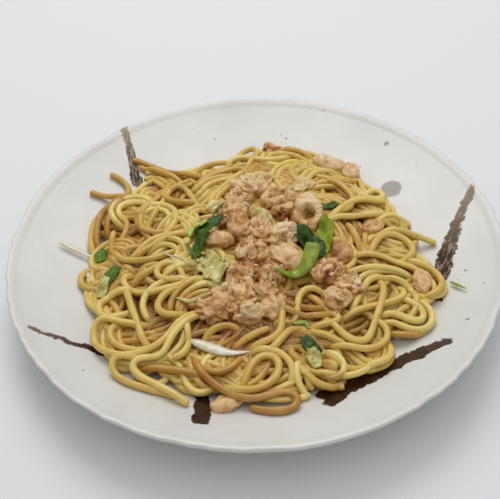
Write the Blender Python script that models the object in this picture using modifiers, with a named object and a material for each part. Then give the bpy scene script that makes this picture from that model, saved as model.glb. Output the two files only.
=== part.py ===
"""A plate of yakisoba: fried noodles heaped on a stoneware plate, with pork and greens on top.

Sizes are in millimetres here and become metres as each mesh is made. X runs to the right,
Y away from the eater and Z up. The origin is on the table, under the middle of the plate.
"""

import math
import random

import bmesh
import bpy
import numpy as np
from mathutils import Matrix, Vector, noise
from mathutils.bvhtree import BVHTree

MM = 0.001
GAP = 0.35

# The plate: a hand-thrown dish with a low well, a rising rim and a turned foot.
PLATE_RADIUS = 111.2
RIM_HEIGHT = 25.5
WELL_HEIGHT = 7.0
WELL_RADIUS = 42.0
FLARE_POWER = 1.7
WALL_HEIGHT = 4.8
EDGE_ROUND = 0.8
EDGE_HEIGHT = 4.6
EDGE_LEAN = 1.7
FOOT_OUTER = 64.0
FOOT_INNER = 58.0
FOOT_RECESS = 2.4
FOOT_CHAMFER = 0.7
PLATE_STEPS = 48
WOBBLE_START = 70.0
RIM_SWAY = 0.4
RIM_LIFT = 0.3
# Waves round the rim: how many, where they start, share of the whole.
SWAY_WAVES = [(5, 0.7, 0.6), (9, 2.1, 0.4)]
LIFT_WAVES = [(3, 1.2, 0.6), (8, 0.0, 0.4)]

# The heap: its outline on the plate as (degrees, distance) round its own middle.
HEAP_MIDDLE = (0.0, -4.0)
HEAP_OUTLINE = [
    (3, 80), (26, 77), (54, 85), (83, 83), (105, 75), (131, 84), (149, 84), (177, 80),
    (210, 81), (225, 86), (255, 79), (280, 85), (296, 79), (322, 83), (342, 86),
]
CORE_INSET = 6.0
CORE_EDGE = 2.6
CORE_RISE = 15.0
CORE_SHOULDER = 2.2
CORE_ROUNDING = 0.8
CORE_FOLLOWS_PLATE = 0.8
CORE_CLEARANCE = 0.2
CORE_SEGMENTS = 36
CORE_RINGS = 12

# The noodles: round strands that lie on the core and on one another.
NOODLE_RADIUS = 1.6
NOODLE_SINK = 0.8
NOODLE_STEP = 5.2
NOODLE_TAPER = 0.12
SHORTEST_NOODLE = 16.0
TOPPING_MARGIN = 0.8
PLATE_MARGIN = 0.15
CURVE_SIDES_LEVEL = 1
BEND_WEIGHTS = (1, 3, 6, 7, 6, 3, 1)
BEND_SHARE = 0.6
CORE_SHARE = 0.97
CELL = 1.0
FIELD_HALF = 100

# Strands that give the heap its look, as the plan of each one, in the order they are laid.
LEAD_NOODLES = [
    [(-80, 44), (-68, 41), (-58, 37.5), (-47, 35)],
    [(-60, 69), (-50, 65.5), (-41, 59), (-27, 52)],
    [(-60, 40), (-71, 31), (-74, 18), (-72, 6), (-66, -2), (-56, -11)],
    [(-46, 8), (-38, 19), (-30, 21), (-26, 12), (-34, 4), (-46, 0), (-57, -5)],
    [(-65, 14), (-65, 1), (-58, -8), (-46, -9), (-33, -2)],
    [(-55, -13), (-58, -21), (-50, -28), (-36, -27), (-21, -20)],
    [(-50, -27), (-62, -27), (-68, -34), (-60, -41), (-52, -34)],
    [(-52, -46), (-66, -41), (-68, -53), (-54, -61), (-39, -55), (-28, -43), (-19, -40)],
    [(-34, -80), (-49, -71), (-50, -64), (-40, -62), (-33, -50), (-18, -41)],
    [(-50, -66), (-36, -69), (-20, -72)],
    [(-27, -62), (-22, -73), (-8, -83), (6, -82), (13, -86), (1, -89)],
    [(-17, -77), (-3, -81), (7, -75), (5, -66), (-4, -68), (-9, -80)],
    [(-13, -62), (0, -60), (9, -54), (10, -42), (13, -33)],
    [(20, -72), (32, -75), (43, -70), (43, -63), (33, -61), (27, -58)],
    [(52, -25), (53, -36), (47, -52), (41, -60), (31, -52), (25, -45)],
    [(70, -24), (54, -22), (44, -28), (37, -39), (34, -46)],
    [(50, -25), (63, -29), (67, -38), (57, -51)],
    [(62, -12), (76, -18), (80, -29), (73, -36), (70, -26)],
    [(60, -46), (71, -43), (70, -51), (55, -54)],
    [(50, -3), (57, 3), (69, 5), (82, 1)],
    [(32, -12), (49, -12), (64, -17), (75, -22)],
    [(43, 14), (45, 2), (48, -10), (57, -14), (69, -13), (69, -3), (58, 1)],
    [(32, 10), (46, 14), (59, 18), (62, 24)],
    [(36, 46), (46, 34), (46, 22), (38, 16)],
    [(-6, 60), (-6, 70), (-1, 77), (4, 72), (-2, 57)],
    [(5, 68), (16, 73), (28, 67), (36, 60)],
    [(-31, 58), (-20, 64), (-10, 61), (-14, 55), (-24, 53)],
    [(-30, 42), (-18, 51), (-5, 56), (-1, 46)],
]
FILLER_NOODLES = 10
FILLER_SEED = 5
FILLER_LENGTH = 70.0
FILLER_TURN = 2.399
FILLER_SHARES = (0.5, 0.9)
FILLER_SLANT = 0.6
FILLER_BENDS = (14, 30)
FILLER_SWING = 0.05
FILLER_WAVE = 0.11

# How far lumps sink into the heap, and how craggy they are.
LUMP_SINK = 1.0
CRAG_SHARE = 1.6
CRAG_SIZES = (1.5, 3.4)
# Pork and pale scraps: name, middle, length, width, height, turn in degrees, lift, roughness.
LUMPS = [
    ("pork_back_roll", (0, 33), 19, 11, 9, -15, 0.0, 0.10),
    ("pork_back_crumb", (-6, 25), 9, 9, 7, 40, 0.0, 0.16),
    ("pork_hollow", (13, 19), 15, 18, 10, 0, 0.0, 0.16),
    ("pork_left_back", (-9, 14), 14, 12, 9, 20, 0.0, 0.16),
    ("pork_folded", (-7, 4), 9, 14, 10, 10, 0.6, 0.12),
    ("pork_left_smooth", (-16, -3), 16, 11, 9, -10, 0.0, 0.08),
    ("pork_middle", (2, -3), 11, 14, 10, -15, 1.4, 0.14),
    ("pork_pale_crumbs", (13, -4), 16, 12, 9, 15, 0.8, 0.18),
    ("pork_fat_oval", (13, -17), 19, 13, 9, -20, 0.6, 0.06),
    ("pork_crumbly", (-1, -15), 13, 12, 10, 30, 1.0, 0.18),
    ("pork_small_front", (6, -26), 8, 11, 8, 0, 0.4, 0.14),
    ("pork_left_front", (-6, -25), 14, 9, 9, 5, 0.6, 0.14),
    ("pork_pale_smooth", (-7, -34), 15, 13, 8, -10, 0.8, 0.07),
    ("pork_crumb_front", (3, -34), 9, 8, 7, 20, 0.4, 0.16),
    ("pork_brown_front", (-18, -40), 14, 13, 8, 35, 0.4, 0.16),
    ("pork_tongue", (-5, -44), 14, 9, 7, -15, 0.4, 0.12),
    ("pork_shreds", (5, -41), 11, 7, 6, 50, 0.2, 0.16),
    ("pork_right_upper", (31, -25), 15, 10, 8, -10, 0.6, 0.15),
    ("pork_right_small", (39, -31), 9, 10, 7, 60, 0.4, 0.15),
    ("pork_right_lower", (34, -38), 11, 12, 7, 0, 0.4, 0.15),
    ("pork_right_slice", (38, -10), 9, 15, 5.5, -5, 0.4, 0.14),
    ("pork_far_right", (71, -27), 7, 13, 5, -5, 1.5, 0.14),
    ("pork_back_right", (39, 60), 16, 8, 7, -20, 0.6, 0.16),
    ("pork_back_corner", (50, 54), 9, 11, 6, 10, 1.0, 0.13),
    ("pork_far_back", (11, 77), 10, 5, 4, 0, 1.2, 0.14),
    ("pork_fallen", (-14, -84), 12, 7, 4, 8, 0.6, 0.14),
    ("pork_edge_slice", (55, 9), 9, 8, 4.5, 20, 0.4, 0.14),
    ("cabbage_middle", (4, 9), 8, 11, 8, 5, 1.0, 0.12),
    ("cabbage_left_back", (-16, 24), 12, 8, 4.5, 0, 0.6, 0.14),
    ("cabbage_back", (25, 40), 14, 11, 4, 30, 0.4, 0.14),
    ("cabbage_back_long", (3, 46), 20, 8, 4.5, 5, 0.6, 0.12),
]
CURL_MIDDLE = (25, 12)
CURL_MAJOR = 5.0
CURL_MINOR = 2.4
CURL_STRETCH = 1.35
CURL_LIFT = 4.2
CURL_TILT = 28
CURL_TALL = 1.3

# Leaves: name, plan of the middle line, width, thickness, wave height.
LEAVES = [
    ("leaf_dark_left", [(-22, 1), (-26, -6), (-27, -14)], 8.0, 1.0, 0.7),
    ("leaf_dark_right", [(21, 0), (22.5, -8), (23, -15)], 10.5, 1.0, 0.8),
    ("leaf_bright_blade", [(31.5, -10), (32, -4), (33, 3), (34.5, 10)], 6.5, 1.1, 0.5),
    ("leaf_back_strip", [(26, 26), (30, 22.5), (35, 22), (40, 25)], 4.0, 1.0, 0.3),
    ("leaf_left_edge", [(-70, -3), (-71, 1), (-69, 5)], 5.5, 0.9, 0.4),
    ("leaf_olive_left", [(-62, -9), (-65, -14), (-67, -20)], 6.0, 0.9, 0.6),
    ("leaf_front", [(18, -56), (20, -60), (24, -64)], 5.5, 0.9, 0.5),
    ("cabbage_front", [(20, -63), (21.5, -67), (22, -70.5)], 5.5, 1.2, 0.4),
    ("cabbage_left", [(-66, -16), (-68, -21), (-68, -26)], 5.5, 1.2, 0.4),
    ("cabbage_middle_left", [(-25, -16), (-19, -19), (-14, -27)], 10.0, 1.3, 0.5),
    ("stem_left", [(-28, 5), (-22, 6), (-15, 9)], 8.5, 1.5, 0.4),
]
LEAF_ROWS = 6
LEAF_COLUMNS = 2
LEAF_TIP = 0.35
LEAF_NOTCH = 0.12
LEAF_REACH = 0.27
LEAF_CLEARANCE = 0.15

# Stems and shreds: name, plan, radius at the middle.
STEMS = [
    ("stem_right", [(10, -27), (16, -28.5), (21, -27), (24, -21), (24.5, -16)], 2.5),
    ("stem_front", [(14, -50), (19, -49.5), (20.5, -53)], 1.7),
    ("sprout_front", [(-27, -56), (-20, -59.5), (-12, -62.5), (-5, -62.5)], 1.9),
    ("shred_left", [(-91, 9.5), (-83, 6), (-76, 3)], 1.3),
    ("root_left", [(-77, -5), (-76, -9), (-74, -14)], 1.1),
    ("shred_green_right", [(84, -26), (87, -30), (89.5, -33)], 0.8),
]
STEM_POINTS = 6
STEM_TAPER = 0.45
STEM_REACH = 0.6
STEM_CLEARANCE = 0.1

# What cuts the toppings clear of the core and of the plate.
CUTTER_DEPTH = 3.0
CUTTER_RADII = range(0, 109, 12)
SHARP_ANGLE = 40

COLOURS = {
    "glazed_stoneware": ((214, 212, 205), 0.35),
    "fried_noodle": ((186, 148, 88), 0.4),
    "fried_pork": ((182, 140, 98), 0.45),
    "green_leaf": ((66, 98, 32), 0.4),
    "pale_cabbage": ((205, 196, 142), 0.4),
    "green_stem": ((150, 165, 72), 0.4),
}


def linear(value):
    """Turn one screen colour value into the light value that a shader takes."""
    share = value / 255
    return share / 12.92 if share <= 0.04045 else ((share + 0.055) / 1.055) ** 2.4


def make_material(name):
    rgb, roughness = COLOURS[name]
    material = bpy.data.materials.new(name)
    material.use_nodes = True
    shader = material.node_tree.nodes["Principled BSDF"]
    shader.inputs["Base Color"].default_value = [linear(v) for v in rgb] + [1.0]
    shader.inputs["Roughness"].default_value = roughness
    shader.inputs["Metallic"].default_value = 0.0
    return material


def plate_top(radius):
    """Height of the plate's upper face at a distance from its middle."""
    reach = np.maximum((radius - WELL_RADIUS) / (PLATE_RADIUS - WELL_RADIUS), 0.0)
    return WELL_HEIGHT + (RIM_HEIGHT - WELL_HEIGHT) * reach**FLARE_POWER


def plate_profile():
    """The plate's section, from the middle of the well out over the lip to the foot."""
    upper = [(r, float(plate_top(r))) for r in (0, 24, 42, 56, 69, 81, 92, 101)]
    lip = [
        (PLATE_RADIUS - 2 * EDGE_ROUND, RIM_HEIGHT),
        (PLATE_RADIUS, RIM_HEIGHT - EDGE_ROUND),
        (PLATE_RADIUS - EDGE_LEAN, RIM_HEIGHT - EDGE_HEIGHT),
        (PLATE_RADIUS - 2.4 * EDGE_LEAN, RIM_HEIGHT - 1.25 * EDGE_HEIGHT),
    ]
    lower = [(r, float(plate_top(r)) - WALL_HEIGHT) for r in (101, 89, 77, 67)]
    foot = [
        (FOOT_OUTER + FOOT_CHAMFER, FOOT_CHAMFER),
        (FOOT_OUTER, 0.0),
        (FOOT_INNER, 0.0),
        (FOOT_INNER - 2 * FOOT_CHAMFER, FOOT_RECESS),
        (0.0, FOOT_RECESS),
    ]
    return upper + lip + lower + foot


def turned_mesh(name, profile, steps):
    """A closed turned solid, made by a Screw modifier on an open profile."""
    mesh = bpy.data.meshes.new(name)
    points = [(r * MM, 0.0, z * MM) for r, z in profile]
    edges = [(i, i + 1) for i in range(len(points) - 1)]
    mesh.from_pydata(points, edges, [])
    holder = bpy.data.objects.new(name, mesh)
    bpy.context.scene.collection.objects.link(holder)
    screw = holder.modifiers.new("turn", "SCREW")
    screw.steps = steps
    screw.render_steps = steps
    screw.use_merge_vertices = True
    screw.merge_threshold = 0.00001
    turned = evaluated_mesh(holder)
    bpy.data.objects.remove(holder)
    return turned


def evaluated_mesh(holder):
    """A plain mesh of what an object's modifiers make."""
    depsgraph = bpy.context.evaluated_depsgraph_get()
    return bpy.data.meshes.new_from_object(holder.evaluated_get(depsgraph))


def sway_rim(mesh):
    """Give the rim the slight waver of a plate that was shaped by hand."""
    for vertex in mesh.vertices:
        radius = math.hypot(vertex.co.x, vertex.co.y) / MM
        share = max((radius - WOBBLE_START) / (PLATE_RADIUS - WOBBLE_START), 0.0) ** 2
        turn = math.atan2(vertex.co.y, vertex.co.x)
        sway = sum(part * math.sin(count * turn + start) for count, start, part in SWAY_WAVES)
        lift = sum(part * math.sin(count * turn + start) for count, start, part in LIFT_WAVES)
        grow = 1 + share * RIM_SWAY * sway / PLATE_RADIUS
        vertex.co.x *= grow
        vertex.co.y *= grow
        vertex.co.z += share * RIM_LIFT * lift * MM


def heap_reach(turn):
    """Distance from the heap's middle to its outline, in a direction in radians."""
    angles = [a for a, _ in HEAP_OUTLINE]
    reaches = [r for _, r in HEAP_OUTLINE]
    return np.interp(np.degrees(turn), angles, reaches, period=360) - CORE_INSET


def core_top(x, y):
    """Height of the bare core's upper face, without its edge."""
    dx = x - HEAP_MIDDLE[0]
    dy = y - HEAP_MIDDLE[1]
    share = np.hypot(dx, dy) / heap_reach(np.arctan2(dy, dx))
    base = WELL_HEIGHT + (plate_top(np.hypot(x, y)) - WELL_HEIGHT) * CORE_FOLLOWS_PLATE
    dome = np.maximum(1 - np.minimum(share, 1.0) ** CORE_SHOULDER, 0.0) ** CORE_ROUNDING
    return base + CORE_EDGE + CORE_RISE * dome


def core_mesh(name, grow, depth):
    """A sphere pressed into the heap's core; grow swells it and depth sinks its underside."""
    shape = bmesh.new()
    bmesh.ops.create_uvsphere(
        shape, u_segments=CORE_SEGMENTS, v_segments=CORE_RINGS, radius=1.0
    )
    for vertex in shape.verts:
        share = math.hypot(vertex.co.x, vertex.co.y)
        turn = math.atan2(vertex.co.y, vertex.co.x)
        reach = (heap_reach(turn) + grow) * share
        x = HEAP_MIDDLE[0] + reach * math.cos(turn)
        y = HEAP_MIDDLE[1] + reach * math.sin(turn)
        top = core_top(x, y) + grow
        bottom = plate_top(math.hypot(x, y)) + GAP + CORE_CLEARANCE - depth
        on_rim = abs(vertex.co.z) < 0.01
        if on_rim:
            z = (top + bottom) / 2
        else:
            z = top if vertex.co.z > 0 else bottom
        vertex.co = Vector((x, y, z)) * MM
    mesh = bpy.data.meshes.new(name)
    shape.to_mesh(mesh)
    shape.free()
    return mesh


def smooth_line(points, step):
    """Points every step along a smooth curve through the given plan points."""
    ends = [2 * points[0] - points[1]], [2 * points[-1] - points[-2]]
    chain = ends[0] + points + ends[1]
    dense = []
    for a, b, c, d in zip(chain, chain[1:], chain[2:], chain[3:]):
        for i in range(12):
            t = i / 12
            dense.append(
                0.5 * (2 * b + (c - a) * t + (2 * a - 5 * b + 4 * c - d) * t**2
                       + (3 * b - 3 * c + d - a) * t**3)
            )
    dense.append(points[-1])
    line = [dense[0]]
    for point in dense:
        while (point - line[-1]).length >= step:
            line.append(line[-1] + (point - line[-1]).normalized() * step)
    return line


class Ground:
    """What lies on the plate so far, as something to find heights on from above."""

    def __init__(self):
        self.trees = []

    def add(self, mesh):
        corners = [vertex.co for vertex in mesh.vertices]
        faces = [tuple(face.vertices) for face in mesh.polygons]
        self.trees.append(BVHTree.FromPolygons(corners, faces))

    def height(self, x, y):
        """The highest surface over a plan point, in millimetres, or None over nothing."""
        start = Vector((x, y, 200.0)) * MM
        found = None
        for tree in self.trees:
            hit = tree.ray_cast(start, Vector((0, 0, -1)))[0]
            if hit is not None and (found is None or hit.z / MM > found):
                found = hit.z / MM
        return found

    def around(self, x, y, reach):
        """The highest surface under a small disc."""
        best = self.height(x, y)
        for radius in (reach / 2, reach):
            for eighth in range(8):
                turn = eighth * math.pi / 4
                near = self.height(x + radius * math.cos(turn), y + radius * math.sin(turn))
                if near is not None and (best is None or near > best):
                    best = near
        return best


def biggest_body(mesh):
    """Keep the largest closed shell of a mesh: loose scraps and sealed hollows go."""
    shape = bmesh.new()
    shape.from_mesh(mesh)
    bmesh.ops.triangulate(shape, faces=shape.faces[:])
    unseen = set(shape.verts)
    shells = []
    while unseen:
        stack = [unseen.pop()]
        shell = set(stack)
        while stack:
            for edge in stack.pop().link_edges:
                for vertex in edge.verts:
                    if vertex in unseen:
                        unseen.discard(vertex)
                        shell.add(vertex)
                        stack.append(vertex)
        shells.append(shell)
    largest = max(shells, key=len)
    for shell in shells:
        if shell is not largest:
            bmesh.ops.delete(shape, geom=list(shell), context="VERTS")
    shape.to_mesh(mesh)
    shape.free()


def cut(mesh, cutter, cutters):
    """Take one closed shape away from another with a Boolean."""
    holder = bpy.data.objects.new("cut piece", mesh)
    tool = bpy.data.objects.new("cutter", cutter)
    bpy.context.scene.collection.objects.link(holder)
    cutters.objects.link(tool)
    tool.hide_render = True
    tool.display_type = "WIRE"
    boolean = holder.modifiers.new("cut", "BOOLEAN")
    boolean.operation = "DIFFERENCE"
    boolean.solver = "EXACT"
    boolean.object = tool
    result = evaluated_mesh(holder)
    bpy.data.objects.remove(holder)
    bpy.data.objects.remove(tool)
    biggest_body(result)
    return result


def roughen(shape, amount, seed):
    """Push the points of a unit shape in and out, as crags on a torn piece of meat."""
    shift = Vector((seed * 3.7, seed * 1.9, seed * 5.3))
    for vertex in shape.verts:
        wide, narrow = (noise.noise(vertex.co * size + shift) for size in CRAG_SIZES)
        vertex.co *= 1 + amount * CRAG_SHARE * (wide + narrow / 2)


def lump_mesh(name, middle, sizes, turn, lift, roughness, seed):
    """A craggy lump standing on the core at a plan point."""
    shape = bmesh.new()
    bmesh.ops.create_icosphere(shape, subdivisions=2, radius=1.0)
    roughen(shape, roughness, seed)
    length, width, height = sizes
    bmesh.ops.scale(shape, vec=Vector((length, width, height)) / 2 * MM, verts=shape.verts)
    bmesh.ops.rotate(
        shape, cent=(0, 0, 0), matrix=Matrix.Rotation(math.radians(turn), 3, "Z"),
        verts=shape.verts,
    )
    x, y = middle
    floor = max(float(core_top(x, y)), float(plate_top(math.hypot(x, y))))
    place = Vector((x, y, floor + lift + height / 2 - LUMP_SINK)) * MM
    bmesh.ops.translate(shape, vec=place, verts=shape.verts)
    mesh = bpy.data.meshes.new(name)
    shape.to_mesh(mesh)
    shape.free()
    return mesh


def curl_mesh(name):
    """A curled slice of pork: a stretched ring that leans towards the eater."""
    bpy.ops.mesh.primitive_torus_add(
        major_radius=CURL_MAJOR * MM, minor_radius=CURL_MINOR * MM,
        major_segments=12, minor_segments=6,
    )
    holder = bpy.context.object
    mesh = holder.data.copy()
    bpy.data.objects.remove(holder)
    x, y = CURL_MIDDLE
    place = Vector((x, y, float(core_top(x, y)) + CURL_LIFT)) * MM
    lean = Matrix.Rotation(math.radians(CURL_TILT), 4, "X")
    stretch = Matrix.Diagonal((1.0, CURL_STRETCH, CURL_TALL, 1.0))
    mesh.transform(Matrix.Translation(place) @ lean @ stretch)
    mesh.name = name
    return mesh


def swollen(mesh):
    """A slightly larger copy of a piece, to cut its neighbours clear of it."""
    grown = mesh.copy()
    low, high = box_of(mesh)
    middle = (low + high) / 2
    size = (high - low) / MM
    factors = [1 + 2 * GAP / max(side, 1.0) for side in size]
    grown.transform(
        Matrix.Translation(middle) @ Matrix.Diagonal((*factors, 1.0))
        @ Matrix.Translation(-middle)
    )
    return grown


def box_of(mesh):
    corners = [vertex.co for vertex in mesh.vertices]
    low = Vector([min(c[i] for c in corners) for i in range(3)])
    high = Vector([max(c[i] for c in corners) for i in range(3)])
    return low, high


def boxes_meet(first, second):
    low_a, high_a = box_of(first)
    low_b, high_b = box_of(second)
    room = 2 * GAP * MM
    return all(low_a[i] - room < high_b[i] and low_b[i] - room < high_a[i] for i in range(3))


def leaf_mesh(name, line, width, thickness, wave, ground):
    """A thin wavy sheet laid over what is there, given its thickness by Solidify."""
    points = [Vector(p) for p in line]
    middle = smooth_line(points, 0.5)
    shape = bmesh.new()
    rows = []
    seed = len(name) + line[0][0]
    for row in range(LEAF_ROWS):
        share = row / (LEAF_ROWS - 1)
        index = round(share * (len(middle) - 1))
        here = middle[index]
        ahead = middle[min(index + 1, len(middle) - 1)] - middle[max(index - 1, 0)]
        side = Vector((-ahead.y, ahead.x)).normalized()
        half = width / 2 * (LEAF_TIP + (1 - LEAF_TIP) * math.sin(math.pi * share))
        strip = []
        for column in range(LEAF_COLUMNS + 1):
            across = 2 * column / LEAF_COLUMNS - 1
            spot = here + side * half * across * (1 + LEAF_NOTCH * math.sin(3 * row + seed))
            rest = ground.around(spot.x, spot.y, LEAF_REACH * width)
            ripple = wave * (1 + math.sin(1.9 * row + 1.3 * column + seed))
            height = rest + GAP + thickness / 2 + LEAF_CLEARANCE + ripple
            strip.append(shape.verts.new(Vector((spot.x, spot.y, height)) * MM))
        rows.append(strip)
    for low, high in zip(rows, rows[1:]):
        for i in range(LEAF_COLUMNS):
            shape.faces.new((low[i], low[i + 1], high[i + 1]))
            shape.faces.new((low[i], high[i + 1], high[i]))
    bmesh.ops.recalc_face_normals(shape, faces=shape.faces[:])
    mesh = bpy.data.meshes.new(name)
    shape.to_mesh(mesh)
    shape.free()
    holder = bpy.data.objects.new(name, mesh)
    bpy.context.scene.collection.objects.link(holder)
    shell = holder.modifiers.new("thickness", "SOLIDIFY")
    shell.thickness = thickness * MM
    shell.offset = 0.0
    solid = evaluated_mesh(holder)
    bpy.data.objects.remove(holder)
    return solid


def tube_mesh(name, path, radius, taper):
    """A round strand along a path, as a bevelled curve made into a closed mesh."""
    curve = bpy.data.curves.new(name, "CURVE")
    curve.dimensions = "3D"
    curve.bevel_depth = radius * MM
    curve.bevel_resolution = CURVE_SIDES_LEVEL
    curve.use_fill_caps = True
    spline = curve.splines.new("POLY")
    spline.points.add(len(path) - 1)
    for i, (target, point) in enumerate(zip(spline.points, path)):
        share = i / (len(path) - 1)
        target.co = (*(point * MM), 1.0)
        target.radius = 1 - taper * abs(2 * share - 1) ** 3
    holder = bpy.data.objects.new(name, curve)
    bpy.context.scene.collection.objects.link(holder)
    mesh = evaluated_mesh(holder)
    bpy.data.objects.remove(holder)
    shape = bmesh.new()
    shape.from_mesh(mesh)
    bmesh.ops.remove_doubles(shape, verts=shape.verts, dist=0.00001)
    shape.to_mesh(mesh)
    shape.free()
    return mesh


def stem_mesh(name, line, radius, ground):
    """A stem or shred that rests on what is there."""
    middle = smooth_line([Vector(p) for p in line], 0.5)
    path = []
    for i in range(STEM_POINTS):
        spot = middle[round(i * (len(middle) - 1) / (STEM_POINTS - 1))]
        rest = ground.around(spot.x, spot.y, radius + STEM_REACH)
        path.append(Vector((spot.x, spot.y, rest + radius + GAP + STEM_CLEARANCE)))
    return tube_mesh(name, path, radius, STEM_TAPER)


class NoodleBed:
    """A field of heights that the noodles are laid on, one after another."""

    def __init__(self, ground_of_toppings):
        side = np.arange(-FIELD_HALF, FIELD_HALF + CELL, CELL)
        self.x, self.y = np.meshgrid(side, side, indexing="ij")
        floor = plate_top(np.hypot(self.x, self.y)) + GAP + PLATE_MARGIN
        turn = np.arctan2(self.y - HEAP_MIDDLE[1], self.x - HEAP_MIDDLE[0])
        reach = np.hypot(self.x - HEAP_MIDDLE[0], self.y - HEAP_MIDDLE[1])
        inside = reach < heap_reach(turn) * CORE_SHARE
        self.floor = floor
        self.height = np.where(inside, core_top(self.x, self.y) - NOODLE_SINK, floor)
        self.blocked = np.zeros(self.x.shape, bool)
        for i in range(len(side)):
            for j in range(len(side)):
                if ground_of_toppings.height(side[i], side[j]) is not None:
                    self.blocked[i, j] = True
        self.widen_blocked(NOODLE_RADIUS + TOPPING_MARGIN)

    def widen_blocked(self, margin):
        cells = int(math.ceil(margin / CELL))
        grown = self.blocked.copy()
        for i in range(-cells, cells + 1):
            for j in range(-cells, cells + 1):
                if math.hypot(i, j) * CELL <= margin + 0.5:
                    grown |= np.roll(self.blocked, (i, j), (0, 1))
        self.blocked = grown

    def cell(self, x, y):
        return (
            int(round((x + FIELD_HALF) / CELL)),
            int(round((y + FIELD_HALF) / CELL)),
        )

    def clear_runs(self, line):
        """The stretches of a plan line that no topping covers."""
        runs = [[]]
        for point in line:
            if self.blocked[self.cell(point.x, point.y)]:
                if runs[-1]:
                    runs.append([])
            else:
                runs[-1].append(point)
        return [run for run in runs if (len(run) - 1) * CELL >= SHORTEST_NOODLE]

    def lay(self, run):
        """The path of a noodle's middle over what is there; the field then rises under it."""
        spots = [self.cell(p.x, p.y) for p in run]
        wanted = np.array([self.height[s] for s in spots]) + NOODLE_RADIUS
        floor = np.array([self.floor[s] for s in spots]) + NOODLE_RADIUS
        reach = len(BEND_WEIGHTS) // 2
        padded = np.pad(wanted, reach, mode="edge")
        raised = np.max([padded[i:i + len(wanted)] for i in range(2 * reach + 1)], axis=0)
        weights = np.array(BEND_WEIGHTS) / sum(BEND_WEIGHTS)
        level = np.convolve(np.pad(raised, reach, mode="edge"), weights, mode="valid")
        level = np.maximum(level * BEND_SHARE + wanted * (1 - BEND_SHARE), floor)
        for point, height in zip(run, level):
            self.stamp(point, height)
        return [Vector((p.x, p.y, h)) for p, h in zip(run, level)]

    def stamp(self, point, height):
        i, j = self.cell(point.x, point.y)
        window = slice(i - 2, i + 3), slice(j - 2, j + 3)
        away = (self.x[window] - point.x) ** 2 + (self.y[window] - point.y) ** 2
        roof = height - NOODLE_SINK + np.sqrt(np.maximum(NOODLE_RADIUS**2 - away, 0.0))
        under = away < NOODLE_RADIUS**2
        rest = self.height[window]
        self.height[window] = np.where(under, np.maximum(rest, roof), rest)


def filler_lines():
    """Curling plan lines that follow a rule, to fill the heap between the lead strands."""
    draw = random.Random(FILLER_SEED)
    lines = []
    for k in range(FILLER_NOODLES):
        turn = k * FILLER_TURN
        share = draw.uniform(*FILLER_SHARES)
        reach = share * float(heap_reach(turn))
        x = HEAP_MIDDLE[0] + reach * math.cos(turn)
        y = HEAP_MIDDLE[1] + reach * math.sin(turn)
        heading = turn + math.pi / 2 + draw.uniform(-FILLER_SLANT, FILLER_SLANT)
        bend = draw.choice((-1, 1)) / draw.uniform(*FILLER_BENDS)
        line = [Vector((x, y))]
        for i in range(int(FILLER_LENGTH / CELL)):
            heading += (bend + FILLER_SWING * math.sin(i * FILLER_WAVE + k)) * CELL
            x += math.cos(heading) * CELL
            y += math.sin(heading) * CELL
            away = math.hypot(x - HEAP_MIDDLE[0], y - HEAP_MIDDLE[1])
            if away > heap_reach(math.atan2(y - HEAP_MIDDLE[1], x - HEAP_MIDDLE[0])):
                break
            line.append(Vector((x, y)))
        lines.append(line)
    return lines


def noodle_heap(core, toppings_ground):
    """Fuse the showing noodles onto the bare core."""
    bed = NoodleBed(toppings_ground)
    lines = filler_lines()
    lines += [smooth_line([Vector(p) for p in plan], CELL) for plan in LEAD_NOODLES]
    strands = bpy.data.collections.new("strands")
    bpy.context.scene.collection.children.link(strands)
    for line in lines:
        for run in bed.clear_runs(line):
            path = bed.lay(run)
            count = max(round((len(path) - 1) * CELL / NOODLE_STEP), 3)
            picks = [path[round(i * (len(path) - 1) / count)] for i in range(count + 1)]
            strand = tube_mesh("strand", picks, NOODLE_RADIUS, NOODLE_TAPER)
            strands.objects.link(bpy.data.objects.new("strand", strand))
    holder = bpy.data.objects.new("noodle core", core)
    bpy.context.scene.collection.objects.link(holder)
    union = holder.modifiers.new("fuse", "BOOLEAN")
    union.operation = "UNION"
    union.solver = "EXACT"
    union.operand_type = "COLLECTION"
    union.collection = strands
    fused = evaluated_mesh(holder)
    bpy.data.objects.remove(holder)
    for strand in list(strands.objects):
        bpy.data.objects.remove(strand)
    bpy.data.collections.remove(strands)
    biggest_body(fused)
    return fused


def make_toppings(core_cutter, plate_cutter, ground, cutters):
    """Every topping on the bare core, each cut clear of the ones before it."""
    made = {}
    lumps = [
        (name, lump_mesh(name, middle, (length, width, height), turn, lift, rough, number))
        for number, (name, middle, length, width, height, turn, lift, rough)
        in enumerate(LUMPS)
    ]
    lumps.insert(3, ("pork_curl", curl_mesh("pork_curl")))
    for name, mesh in lumps:
        mesh = cut(mesh, core_cutter.copy(), cutters)
        mesh = cut(mesh, plate_cutter.copy(), cutters)
        for earlier in list(made.values()):
            if boxes_meet(mesh, earlier):
                mesh = cut(mesh, swollen(earlier), cutters)
        made[name] = mesh
        ground.add(mesh)
    for name, line, width, thickness, wave in LEAVES:
        made[name] = leaf_mesh(name, line, width, thickness, wave, ground)
        ground.add(made[name])
    for name, line, radius in STEMS:
        made[name] = stem_mesh(name, line, radius, ground)
        ground.add(made[name])
    return made


def material_of(name):
    kind = name.split("_")[0]
    finishes = {
        "pork": "fried_pork",
        "leaf": "green_leaf",
        "stem": "green_stem",
    }
    if name == "shred_green_right":
        return "green_stem"
    return finishes.get(kind, "pale_cabbage")


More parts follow.
